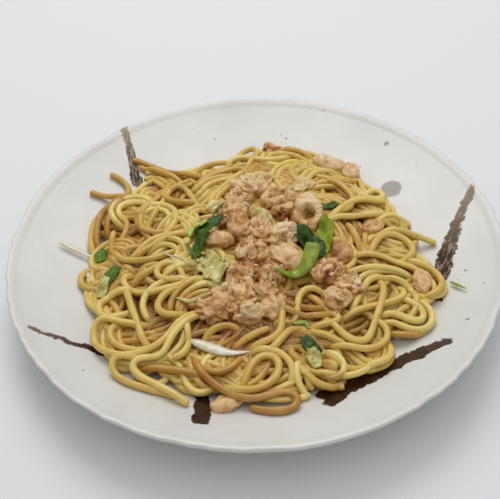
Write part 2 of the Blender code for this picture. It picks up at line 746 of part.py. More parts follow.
def main():
    for old in list(bpy.data.objects):
        bpy.data.objects.remove(old)
    scene = bpy.context.scene
    dish = bpy.data.collections.new("yakisoba")
    cutters = bpy.data.collections.new("cutters")
    scene.collection.children.link(dish)
    scene.collection.children.link(cutters)
    materials = {name: make_material(name) for name in COLOURS}

    plate = turned_mesh("plate", plate_profile(), PLATE_STEPS)
    sway_rim(plate)
    bare_core = core_mesh("core", 0.0, 0.0)

    ground = Ground()
    ground.add(plate)
    ground.add(bare_core)
    core_cutter = core_mesh("core cutter", GAP, CUTTER_DEPTH)
    bowl = [(r, float(plate_top(r)) + GAP) for r in CUTTER_RADII]
    below = [(CUTTER_RADII[-1], 0.0), (0.0, 0.0)]
    plate_cutter = turned_mesh("plate cutter", bowl + below, PLATE_STEPS)
    toppings = make_toppings(core_cutter, plate_cutter, ground, cutters)

    toppings_ground = Ground()
    for mesh in toppings.values():
        toppings_ground.add(mesh)
    heap = noodle_heap(bare_core, toppings_ground)

    root = bpy.data.objects.new("yakisoba", None)
    dish.objects.link(root)
    finished = {"plate": (plate, "glazed_stoneware"), "noodle_heap": (heap, "fried_noodle")}
    for name, mesh in toppings.items():
        finished[name] = (mesh, material_of(name))
    for name, (mesh, finish) in finished.items():
        mesh.name = name
        mesh.materials.clear()
        mesh.materials.append(materials[finish])
        mesh.shade_smooth()
        mesh.set_sharp_from_angle(angle=math.radians(SHARP_ANGLE))
        piece = bpy.data.objects.new(name, mesh)
        piece.parent = root
        dish.objects.link(piece)


main()
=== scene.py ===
# %% [markdown]
# A plate of yakisoba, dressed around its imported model. Fried wheat noodles lie in loose loops on a
# handmade stoneware plate, with torn pork, greens and cabbage on top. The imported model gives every
# place and size, so this script only adds finer shapes and finishes. It starts by loading that
# model, because each piece here either replaces one of its solids or lies on one.

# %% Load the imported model
import math
import random

import bmesh
import bpy
import numpy as np
from mathutils import Matrix, Vector, noise
from mathutils.bvhtree import BVHTree


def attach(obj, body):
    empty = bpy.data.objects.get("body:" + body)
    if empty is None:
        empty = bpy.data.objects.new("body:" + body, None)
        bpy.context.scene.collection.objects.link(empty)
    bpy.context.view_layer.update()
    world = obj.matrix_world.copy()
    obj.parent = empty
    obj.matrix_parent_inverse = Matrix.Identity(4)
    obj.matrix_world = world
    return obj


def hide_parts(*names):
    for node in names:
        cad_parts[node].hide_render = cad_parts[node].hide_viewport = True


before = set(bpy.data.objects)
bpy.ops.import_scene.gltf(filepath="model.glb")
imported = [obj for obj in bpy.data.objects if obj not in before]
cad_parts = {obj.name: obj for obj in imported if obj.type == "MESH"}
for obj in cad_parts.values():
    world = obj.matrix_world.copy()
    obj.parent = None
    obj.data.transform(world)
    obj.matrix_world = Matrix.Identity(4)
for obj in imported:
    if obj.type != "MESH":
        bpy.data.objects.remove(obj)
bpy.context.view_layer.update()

MM = 0.001

# %% [markdown]
# The camera stands where the photographer stood: in front of the eater's side, looking down at
# about 44 degrees. A lens of 60 mm from 41 cm away gives the plate the same slight perspective.
# The picture leans a little, so the camera is rolled about its own view line.

# %% Camera
CAMERA_RISE = math.radians(44.07)
CAMERA_ROLL = math.radians(-2.63)
CAMERA_AWAY = 0.41
CAMERA_LENS = 60.5
CAMERA_AIM = Vector((-2.3, 18.5, 0.0)) * MM
SENSOR_WIDTH = 36
NEAREST_VIEW = 0.01


def linked(name, data):
    """A new object for some data, in the scene."""
    thing = bpy.data.objects.new(name, data)
    bpy.context.scene.collection.objects.link(thing)
    return thing


def make_camera():
    back = Vector((0, -math.cos(CAMERA_RISE), math.sin(CAMERA_RISE)))
    level_right = Vector((1, 0, 0))
    level_up = back.cross(level_right)
    right = level_right * math.cos(CAMERA_ROLL) + level_up * math.sin(CAMERA_ROLL)
    up = back.cross(right)
    data = bpy.data.cameras.new("camera")
    data.lens = CAMERA_LENS
    data.sensor_width = SENSOR_WIDTH
    data.clip_start = NEAREST_VIEW
    camera = linked("camera", data)
    turn = Matrix((right, up, back)).transposed().to_4x4()
    camera.matrix_world = Matrix.Translation(CAMERA_AIM + back * CAMERA_AWAY) @ turn
    bpy.context.scene.camera = camera
    return camera


camera = make_camera()
print("camera at", [round(v, 3) for v in camera.matrix_world.translation])

# %% [markdown]
# Materials are node trees. A few short helpers keep each tree readable: one adds a node, one joins
# two sockets, one makes a colour ramp and one turns a screen colour into the light value that a
# shader needs. Patterns read Object coordinates, which stay fixed to the food from every side.
# Food lets some light in and shines where it is wet, so one helper finishes all of it.

# %% Helpers for materials


def shade(red, green, blue):
    """A shader colour from a screen colour of 0 to 255."""
    values = []
    for value in (red, green, blue):
        share = value / 255
        values.append(share / 12.92 if share <= 0.04045 else ((share + 0.055) / 1.055) ** 2.4)
    return (*values, 1.0)


class Finish:
    """One material and its node tree."""

    def __init__(self, name, roughness=0.5):
        self.material = bpy.data.materials.new(name)
        self.material.use_nodes = True
        self.tree = self.material.node_tree
        self.shader = self.tree.nodes["Principled BSDF"]
        self.shader.inputs["Roughness"].default_value = roughness
        self.place = self.add("ShaderNodeTexCoord").outputs["Object"]

    def add(self, kind, **settings):
        node = self.tree.nodes.new(kind)
        for key, value in settings.items():
            setattr(node, key, value)
        return node

    def join(self, source, target):
        if isinstance(source, (int, float, tuple)):
            target.default_value = source
        else:
            self.tree.links.new(source, target)

    def math(self, operation, first, second=0.0, third=0.0):
        node = self.add("ShaderNodeMath", operation=operation)
        for value, socket in zip((first, second, third), node.inputs):
            self.join(value, socket)
        return node.outputs[0]

    def noise(self, scale, detail=3.0, roughness=0.55, place=None):
        node = self.add("ShaderNodeTexNoise")
        self.join(place or self.place, node.inputs["Vector"])
        node.inputs["Scale"].default_value = scale
        node.inputs["Detail"].default_value = detail
        node.inputs["Roughness"].default_value = roughness
        return node.outputs["Fac"]

    def ramp(self, factor, stops):
        node = self.add("ShaderNodeValToRGB")
        self.join(factor, node.inputs["Fac"])
        elements = node.color_ramp.elements
        while len(elements) < len(stops):
            elements.new(0.5)
        for element, (position, colour) in zip(elements, stops):
            element.position = position
            element.color = colour
        return node.outputs["Color"]

    def mapped(self, place, kind="POINT", **values):
        """A place moved, turned or scaled."""
        node = self.add("ShaderNodeMapping", vector_type=kind)
        self.join(place, node.inputs["Vector"])
        for key, value in values.items():
            node.inputs[key].default_value = value
        return node.outputs["Vector"]

    def between(self, value, low, high):
        """0 where value is under low, 1 over high, and smooth between."""
        node = self.add("ShaderNodeMapRange", interpolation_type="SMOOTHSTEP")
        self.join(value, node.inputs["Value"])
        node.inputs["From Min"].default_value = low
        node.inputs["From Max"].default_value = high
        return node.outputs["Result"]

    def mix(self, factor, first, second, blend="MIX"):
        node = self.add("ShaderNodeMix", data_type="RGBA", blend_type=blend)
        self.join(factor, node.inputs["Factor"])
        self.join(first, node.inputs["A"])
        self.join(second, node.inputs["B"])
        return node.outputs["Result"]

    def stain(self, colour, mask, strength, paint):
        """Lay a paint over a colour where a mask is white."""
        return self.mix(self.math("MULTIPLY", mask, strength), colour, shade(*paint))

    def vary(self, level, pattern, amount):
        """Move a level up and down by a pattern of 0 to 1."""
        return self.math("ADD", level, self.math("MULTIPLY_ADD", pattern, amount, -amount / 2))

    def attribute(self, name):
        return self.add("ShaderNodeAttribute", attribute_name=name).outputs["Fac"]

    def bump(self, height, distance, strength=1.0, under=None):
        node = self.add("ShaderNodeBump")
        node.inputs["Strength"].default_value = strength
        node.inputs["Distance"].default_value = distance
        self.join(height, node.inputs["Height"])
        if under is not None:
            self.join(under, node.inputs["Normal"])
        return node.outputs["Normal"]

    def finish(self, colour, normal=None, **values):
        self.join(colour, self.shader.inputs["Base Color"])
        if normal is not None:
            self.join(normal, self.shader.inputs["Normal"])
        for key, value in values.items():
            self.shader.inputs[key.replace("_", " ")].default_value = value
        return self.material

    def food(self, colour, normal, glow, reach, scale, coat, coat_roughness, **values):
        """The finish of moist food: light enters it, and a thin coat shines."""
        return self.finish(
            colour, normal, Subsurface_Weight=glow, Subsurface_Radius=reach,
            Subsurface_Scale=scale, Coat_Weight=coat, Coat_Roughness=coat_roughness, **values,
        )


print("helpers ready")

# %% [markdown]
# The photo was taken on a plain pale table under a large soft light above and behind the plate, so
# the plate's shadow falls towards the viewer. A big area light does the same here. A weaker light
# from the front and a pale surround fill the shadows, as the walls of a bright room would.

# %% Table and light
TABLE_SIZE = 6.0
SURROUND = (228, 229, 230)
SURROUND_STRENGTH = 0.54
# name, place in metres, size, power in watts
LIGHTS = [
    ("window", (-0.04, 0.64, 1.08), 0.8, 6.4),
    ("ceiling", (0.1, -0.25, 1.5), 1.4, 4.1),
]


def make_table():
    bpy.ops.mesh.primitive_plane_add(size=TABLE_SIZE)
    table = bpy.context.object
    table.name = "table"
    look = Finish("table top", 0.7)
    table.data.materials.append(look.finish(shade(232, 233, 235)))


def make_lights():
    for name, place, size, power in LIGHTS:
        data = bpy.data.lights.new(name, "AREA")
        data.shape = "DISK"
        data.size = size
        data.energy = power
        lamp = linked(name, data)
        lamp.location = place
        lamp.rotation_euler = (-Vector(place)).to_track_quat("-Z", "Y").to_euler()
    world = bpy.data.worlds.new("bright room")
    world.use_nodes = True
    sky = world.node_tree.nodes["Background"]
    sky.inputs["Color"].default_value = shade(*SURROUND)
    sky.inputs["Strength"].default_value = SURROUND_STRENGTH
    bpy.context.scene.world = world
    bpy.context.scene.view_settings.view_transform = "Standard"


make_table()
make_lights()
print("lights:", len(LIGHTS))

# %% [markdown]
# Finished pieces are plain meshes with their place in the vertices. The last helper here links a
# mesh with its material, hangs it on the body that it rides on and hides the solids that it stands
# for. It is called once for each piece, after all modifiers have been turned into plain mesh.

# %% Placing a finished piece


def mesh_from(name, shape):
    """A plain mesh from an edit mesh, which then goes."""
    mesh = bpy.data.meshes.new(name)
    shape.to_mesh(mesh)
    shape.free()
    return mesh


def finished_mesh(holder):
    """A plain mesh of an object with its modifiers, which then goes."""
    depsgraph = bpy.context.evaluated_depsgraph_get()
    mesh = bpy.data.meshes.new_from_object(holder.evaluated_get(depsgraph))
    bpy.data.objects.remove(holder)
    return mesh


def add_values(mesh, name, values):
    """One number for each point of a mesh, for its material to read."""
    layer = mesh.attributes.new(name, "FLOAT", "POINT")
    layer.data.foreach_set("value", np.array(values, dtype=np.float32))


def place_piece(name, mesh, material, nodes=()):
    mesh.materials.clear()
    mesh.materials.append(material)
    mesh.shade_smooth()
    piece = linked(name, mesh)
    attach(piece, "root")
    if nodes:
        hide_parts(*nodes)
    faces = sum(len(face.vertices) - 2 for face in mesh.polygons)
    print(f"{name}: {faces} triangles")


# %% [markdown]
# The plate is thrown on a wheel: a flat well, a wall that flares out to a wide rim, and a turned
# foot. Its section is a short profile turned by a Screw modifier. The potter then cut small facets
# round the edge with a knife, which show as chips of light along the front. They follow a rule of
# their own: about 54 cuts of uneven length, each a shallow flat between two ridges.

# %% The plate's section
PLATE_RADIUS = 111.2
RIM_HEIGHT = 25.5
WELL_HEIGHT = 7.0
WELL_RADIUS = 42.0
FLARE_POWER = 1.7
WALL_HEIGHT = 4.8
EDGE_ROUND = 0.8
EDGE_HEIGHT = 4.6
EDGE_LEAN = 1.7
FOOT_OUTER = 64.0
FOOT_INNER = 58.0
FOOT_RECESS = 2.4
PLATE_STEPS = 432
EDGE_CUTS = 54
CUT_DEPTH = 0.7
CUT_START = 107.5
CUT_WIDTH = 2.5
RIM_SWAY = 0.4
RIM_LIFT = 0.3
SWAY_START = 70
SWAY_REACH = 40
MERGE_DISTANCE = 0.00001


def plate_top(radius):
    """Height of the plate's upper face at a distance from its middle, in millimetres."""
    reach = np.maximum((radius - WELL_RADIUS) / (PLATE_RADIUS - WELL_RADIUS), 0.0)
    return WELL_HEIGHT + (RIM_HEIGHT - WELL_HEIGHT) * reach**FLARE_POWER


def plate_profile():
    upper = [(r, float(plate_top(r))) for r in (0, 15, 30, 42, 50, 58, 66, 73, 80, 86, 92, 97, 101)]
    upper += [(r, float(plate_top(r))) for r in (103.5, 105.5, 107.0)]
    lip = [(PLATE_RADIUS - 2.2 * EDGE_ROUND, RIM_HEIGHT - 0.1)]
    for degrees in range(90, -31, -20):
        turn = math.radians(degrees)
        x = PLATE_RADIUS - EDGE_ROUND * (1 - math.cos(turn))
        lip.append((x, RIM_HEIGHT - EDGE_ROUND * (1 - math.sin(turn))))
    lip += [(PLATE_RADIUS - share * EDGE_LEAN, RIM_HEIGHT - share * EDGE_HEIGHT)
            for share in (0.55, 0.8, 0.95)]
    lip.append((PLATE_RADIUS - 1.2 * EDGE_LEAN, RIM_HEIGHT - 1.05 * EDGE_HEIGHT))
    lower = [(r, float(plate_top(r)) - WALL_HEIGHT) for r in (105, 101, 97, 90, 83, 76, 70, 67)]
    foot = [(65.2, 2.6), (64.7, 0.7), (64.4, 0.2), (FOOT_OUTER, 0.0), (FOOT_INNER, 0.0)]
    foot += [(57.6, 0.2), (57.3, 0.7), (56.6, FOOT_RECESS), (40, FOOT_RECESS), (0, FOOT_RECESS)]
    return upper + lip + lower + foot


def shape_rim(vertex):
    """Move one point of the turned plate as the potter's hand and knife did."""
    radius = math.hypot(vertex.co.x, vertex.co.y) / MM
    turn = math.atan2(vertex.co.y, vertex.co.x)
    share = max((radius - SWAY_START) / SWAY_REACH, 0.0) ** 2
    sway = math.sin(5 * turn + 0.7) * 0.6 + math.sin(9 * turn + 2.1) * 0.4
    lift = math.sin(3 * turn + 1.2) * 0.6 + math.sin(8 * turn) * 0.4
    edge = min(max((radius - CUT_START) / CUT_WIDTH, 0.0), 1.0)
    count = EDGE_CUTS * turn / math.tau + 0.9 * math.sin(3 * turn + 1) + 0.5 * math.sin(7 * turn)
    along = 2 * (count % 1) - 1
    depth = CUT_DEPTH * (0.65 + 0.35 * math.sin(2.3 * math.floor(count)))
    chip = edge * depth * (1 - along * along)
    grow = 1 + (RIM_SWAY * share * sway - chip) / PLATE_RADIUS
    vertex.co.x *= grow
    vertex.co.y *= grow
    vertex.co.z += (RIM_LIFT * share * lift - 0.5 * chip) * MM


def plate_mesh():
    profile = plate_profile()
    mesh = bpy.data.meshes.new("plate section")
    points = [(r * MM, 0.0, z * MM) for r, z in profile]
    mesh.from_pydata(points, [(i, i + 1) for i in range(len(points) - 1)], [])
    holder = linked("plate section", mesh)
    screw = holder.modifiers.new("turn", "SCREW")
    screw.steps = PLATE_STEPS
    screw.render_steps = PLATE_STEPS
    screw.use_merge_vertices = True
    screw.merge_threshold = MERGE_DISTANCE
    turned = finished_mesh(holder)
    for vertex in turned.vertices:
        shape_rim(vertex)
    add_values(turned, "upper", [float(vertex.normal.z > 0.5) for vertex in turned.vertices])
    return turned


# %% [markdown]
# The decoration is a few strokes of iron brown, laid with a broad dry brush before glazing. Each
# stroke is a chain of nodes that turns Object coordinates into a place along and across it, and
# then cuts out a shape with ragged sides and pale streaks where the bristles ran dry. Painting an
# image would need a texture file; a rule keeps the plate sharp at any size. The glaze itself is a
# warm white with faint clouds and a few pinholes.

# %% The glaze and its brush strokes
# start x, y, heading in degrees, length, width at start and end, bend, dryness, grain turn
STROKES = [
    (-66.2, 90.5, -77.5, 38.0, 4.0, 6.6, 0.6, 1.2, 0.25),
    (105.0, 29.5, -116.0, 70.4, 3.6, 11.0, -0.8, 0.85, 0.95),
    (-95.5, -45.6, -16.5, 44.0, 2.0, 4.8, 0.4, 0.45, 0.10),
    (-23.7, -94.6, 90.0, 30.0, 7.4, 6.8, 0.0, 0.05, 0.0),
    (77.0, -59.6, -155.5, 60.0, 4.4, 10.4, -2.6, 0.14, 0.2),
]
# x, y, radius of soft grey-brown blots on the glaze
BLOTS = [(69, 42.5, 5.8), (67.5, 17, 4.6), (70.5, 71, 2.0)]
# x, y, radius of dark specks
PLATE_SPECKS = [
    (17, 88, 0.55), (19.5, 85.5, 0.8), (-18, 87, 0.7), (-27, 90, 0.5), (56, 61, 0.7), (85, 69, 0.6),
    (-71, -66.5, 0.6), (60, 93, 0.7), (83, 54, 0.5), (92, -20, 0.8), (88, -24, 0.5), (97, -31, 0.6),
    (86, -50, 0.9), (41, 99, 0.6),
]
# how far a stroke's middle and its sides wander, how soft its sides are and how uneven its ends
STROKE_SWAY = 5.0
STROKE_RAGGED = 3.0
STROKE_EDGE = 0.6
STROKE_TIP = 0.16
SPOT_RAGGED = 0.5
BLOT_BLUR = 1.4
SPECK_BLUR = 0.3


def stroke_mask(look, wobble, sway, stroke):
    """A mask for one stroke, and how worn its paint is."""
    x, y, heading, length, start_width, end_width, bend, dryness, grain_turn = stroke
    local = look.mapped(look.place, "TEXTURE", Location=(x * MM, y * MM, 0),
                        Rotation=(0, 0, math.radians(heading)))
    split = look.add("ShaderNodeSeparateXYZ")
    look.join(local, split.inputs["Vector"])
    along = look.math("DIVIDE", split.outputs["X"], length * MM)
    arch = look.math("MULTIPLY", look.math("MULTIPLY", along, look.math("SUBTRACT", 1.0, along)), 4)
    centre = look.vary(look.math("MULTIPLY", arch, bend * MM), sway, STROKE_SWAY * MM)
    across = look.math("ABSOLUTE", look.math("SUBTRACT", split.outputs["Y"], centre))
    slim = (end_width - start_width) / 2 * MM
    half = look.math("MULTIPLY_ADD", along, slim, start_width / 2 * MM)
    depth = look.vary(look.math("SUBTRACT", half, across), wobble, STROKE_RAGGED * MM)
    inside = look.between(depth, 0, STROKE_EDGE * MM)
    reached = look.vary(along, sway, STROKE_TIP)
    started = look.between(reached, 0.0, 0.02)
    ended = look.math("SUBTRACT", 1.0, look.between(reached, 0.98, 1.0))
    shape = look.math("MULTIPLY", inside, look.math("MULTIPLY", started, ended))
    grain = look.mapped(local, Scale=(150, 700, 1), Rotation=(0, 0, grain_turn))
    streak = look.noise(1.0, 2.0, 0.6, grain)
    worn = look.between(streak, 0.64 - 0.2 * dryness, 0.74 - 0.12 * dryness)
    fading = look.math("MULTIPLY_ADD", along, -0.8 * dryness, 1.2 * dryness)
    thin = look.math("MULTIPLY_ADD", along, -1.6 * dryness, 0.95 * dryness)
    return shape, look.math("MAXIMUM", look.math("MULTIPLY", worn, fading), thin)


def spot_mask(look, wobble, x, y, radius, blur):
    """A soft round mask with an uneven edge."""
    away = look.add("ShaderNodeVectorMath", operation="DISTANCE")
    flat = look.add("ShaderNodeVectorMath", operation="MULTIPLY")
    look.join(look.place, flat.inputs[0])
    flat.inputs[1].default_value = (1, 1, 0)
    look.join(flat.outputs["Vector"], away.inputs[0])
    away.inputs[1].default_value = (x * MM, y * MM, 0)
    ragged = look.vary(away.outputs["Value"], wobble, radius * SPOT_RAGGED * MM)
    near = look.math("SUBTRACT", radius * MM, ragged)
    return look.between(near, 0.0, blur * MM)


def plate_finish():
    look = Finish("stoneware glaze", 0.34)
    clouds = look.noise(26, 4.0, 0.6)
    colour = look.ramp(clouds, [(0.3, shade(214, 212, 205)), (0.7, shade(224, 223, 217))])
    pins = look.between(look.noise(640, 2.0), 0.735, 0.78)
    colour = look.stain(colour, pins, 0.35, (150, 138, 118))
    wobble = look.noise(420, 4.0, 0.7)
    sway = look.noise(130, 2.0, 0.6)
    brown_clouds = look.noise(190, 4.0, 0.65)
    brown = look.ramp(brown_clouds, [(0.3, shade(36, 18, 5)), (0.7, shade(74, 46, 22))])
    pale_brown = shade(172, 154, 134)
    upper = look.attribute("upper")
    painted = 0.0
    for stroke in STROKES:
        shape, wear = stroke_mask(look, wobble, sway, stroke)
        shape = look.math("MULTIPLY", shape, upper)
        colour = look.mix(shape, colour, look.mix(wear, brown, pale_brown))
        painted = look.math("MAXIMUM", painted, shape)
    for x, y, radius in BLOTS:
        blot = spot_mask(look, wobble, x, y, radius, BLOT_BLUR)
        colour = look.stain(colour, blot, 0.85, (128, 116, 106))
    for x, y, radius in PLATE_SPECKS:
        speck = spot_mask(look, wobble, x, y, radius, SPECK_BLUR)
        colour = look.stain(colour, speck, 0.7, (104, 92, 74))
    relief = look.bump(look.noise(75, 3.0), 0.0006, 0.35)
    relief = look.bump(look.noise(520, 2.0), 0.00012, 0.3, relief)
    for socket, bare, loss in (("Specular IOR Level", 0.5, -0.4), ("Coat Weight", 0.1, -0.1)):
        look.join(look.math("MULTIPLY_ADD", painted, loss, bare), look.shader.inputs[socket])
    return look.finish(colour, relief, Coat_Roughness=0.2)


place_piece("plate_glazed", plate_mesh(), plate_finish(), ["plate"])

# %% [markdown]
# Noodles settle under their own weight, so each one here is laid on what is already there. A field
# of heights, with a cell every half millimetre, starts as the plate and a low core of noodles that
# nobody sees. The toppings give a second field, the underside that a noodle has to pass beneath.
# Physics would take minutes and give a different heap each time the settings change; a field gives
# the same heap every run in a few seconds.

# %% Fields of heights under and over the noodles
HEAP_MIDDLE = (0.0, -4.0)
HEAP_OUTLINE = [
    (3, 80), (26, 77), (54, 85), (83, 83), (105, 75), (131, 84), (149, 84), (177, 80),
    (210, 81), (225, 86), (255, 79), (280, 85), (296, 79), (322, 83), (342, 86),
]
HEAP_EDGE = 6.0
HEAP_RISE = 15.0
HEAP_FOLLOWS = 0.8
DOME_SHOULDER = 2.2
DOME_POWER = 0.8
PLATE_GAP = 0.1
CORE_DROP = 6.5
CORE_INSET = 9.0
CELL = 0.5
FIELD_HALF = 104.0
NOTHING = 99.0
BURIED_SHARE = 0.55
# a piece that lies under the noodles, and how the room under toppings opens towards their sides
UNDER_NOODLES = ["pork_fallen"]
NEAR_STEPS = 5
NEAR_SLOPE = 0.5
RAY_START = 90.0
TOPPINGS = [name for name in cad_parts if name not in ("plate", "noodle_heap")]


def heap_reach(turn, inset=0.0):
    """Distance from the heap's middle to its outline."""
    angles = [a for a, _ in HEAP_OUTLINE]
    reaches = [r for _, r in HEAP_OUTLINE]
    return np.interp(np.degrees(turn), angles, reaches, period=360) - inset


def heap_share(x, y, inset=0.0):
    """0 in the heap's middle and 1 on its outline."""
    dx = x - HEAP_MIDDLE[0]
    dy = y - HEAP_MIDDLE[1]
    return np.hypot(dx, dy) / heap_reach(np.arctan2(dy, dx), inset)


def heap_top(x, y):
    """The height that the noodles reach."""
    base = WELL_HEIGHT + (plate_top(np.hypot(x, y)) - WELL_HEIGHT) * HEAP_FOLLOWS
    share = np.minimum(heap_share(x, y), 1.0)
    dome = np.maximum(1 - share**DOME_SHOULDER, 0.0) ** DOME_POWER
    return base + HEAP_EDGE + HEAP_RISE * dome


def mesh_tree(names):
    """One search tree over the solids of several nodes."""
    corners = []
    faces = []
    for name in names:
        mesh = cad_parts[name].data
        first = len(corners)
        corners += [vertex.co.copy() for vertex in mesh.vertices]
        faces += [[first + i for i in face.vertices] for face in mesh.polygons]
    return BVHTree.FromPolygons(corners, faces)


side = np.arange(-FIELD_HALF, FIELD_HALF + CELL / 2, CELL)
field_x, field_y = np.meshgrid(side, side, indexing="ij")
plate_floor = plate_top(np.hypot(field_x, field_y)) + PLATE_GAP
low_core = np.where(
    heap_share(field_x, field_y, CORE_INSET) < 1, heap_top(field_x, field_y) - CORE_DROP, 0.0
)
heights = np.maximum(plate_floor, low_core)
goal = heap_top(field_x, field_y)


def span_field(names):
    """The lowest and the highest face of some solids over each cell."""
    tree = mesh_tree(names)
    span = np.full((len(side), len(side), 2), (NOTHING, -NOTHING))
    for i, x in enumerate(side):
        for j, y in enumerate(side):
            low = tree.ray_cast(Vector((x, y, -5.0)) * MM, Vector((0, 0, 1)))[0]
            if low is not None:
                high = tree.ray_cast(Vector((x, y, RAY_START)) * MM, Vector((0, 0, -1)))[0]
                span[i, j] = low.z / MM, high.z / MM
    return span


spans = span_field([name for name in TOPPINGS if name not in UNDER_NOODLES])
heights = np.maximum(heights, span_field(UNDER_NOODLES)[:, :, 1])
under_topping = spans[:, :, 0] < NOTHING
buried = BURIED_SHARE * np.maximum(spans[:, :, 1] - spans[:, :, 0] - 2, 0)
ceiling = np.where(under_topping, spans[:, :, 0] + buried, NOTHING)
for _ in range(NEAR_STEPS):
    for axis in (0, 1):
        for way in (-1, 1):
            ceiling = np.minimum(ceiling, np.roll(ceiling, way, axis) + NEAR_SLOPE)
print("cells under toppings:", int(under_topping.sum()))

# %% [markdown]
# The unseen middle of the heap is one low dome, coloured as noodles in painted shade, so that no
# white plate shows through the gaps. It is a sphere pressed to the heap's outline, with ridges as
# wide as a noodle.

# %% The core of the heap
RIDGE_WIDTH = 3.0
RIDGE_HEIGHT = 0.9
CORE_GAP = 0.4


def core_mesh():
    shape = bmesh.new()
    bmesh.ops.create_uvsphere(shape, u_segments=160, v_segments=64, radius=1.0)
    for vertex in shape.verts:
        share = math.hypot(vertex.co.x, vertex.co.y)
        turn = math.atan2(vertex.co.y, vertex.co.x)
        reach = float(heap_reach(turn, CORE_INSET)) * share
        x = HEAP_MIDDLE[0] + reach * math.cos(turn)
        y = HEAP_MIDDLE[1] + reach * math.sin(turn)
        ridge = noise.noise(Vector((x, y, 0)) / RIDGE_WIDTH) * RIDGE_HEIGHT
        top = float(heap_top(x, y)) - CORE_DROP + ridge
        bottom = float(plate_top(math.hypot(x, y))) + CORE_GAP
        top = max(top, bottom + CORE_GAP)
        if abs(vertex.co.z) < 0.01:
            z = (top + bottom) / 2
        else:
            z = top if vertex.co.z > 0 else bottom
        vertex.co = Vector((x, y, z)) * MM
    return mesh_from("heap core", shape)


def shaded_core_finish():
    look = Finish("core in painted shade", 0.6)
    patches = look.noise(150, 3.0)
    # painted shade: the colour of noodles seen in the dark gaps of the heap
    colour = look.ramp(patches, [(0.35, shade(150, 96, 30)), (0.65, shade(196, 140, 58))])
    relief = look.bump(look.noise(300, 3.0), 0.0012, 0.8)
    return look.finish(colour, relief)


place_piece("heap_core", core_mesh(), shaded_core_finish(), ["noodle_heap"])
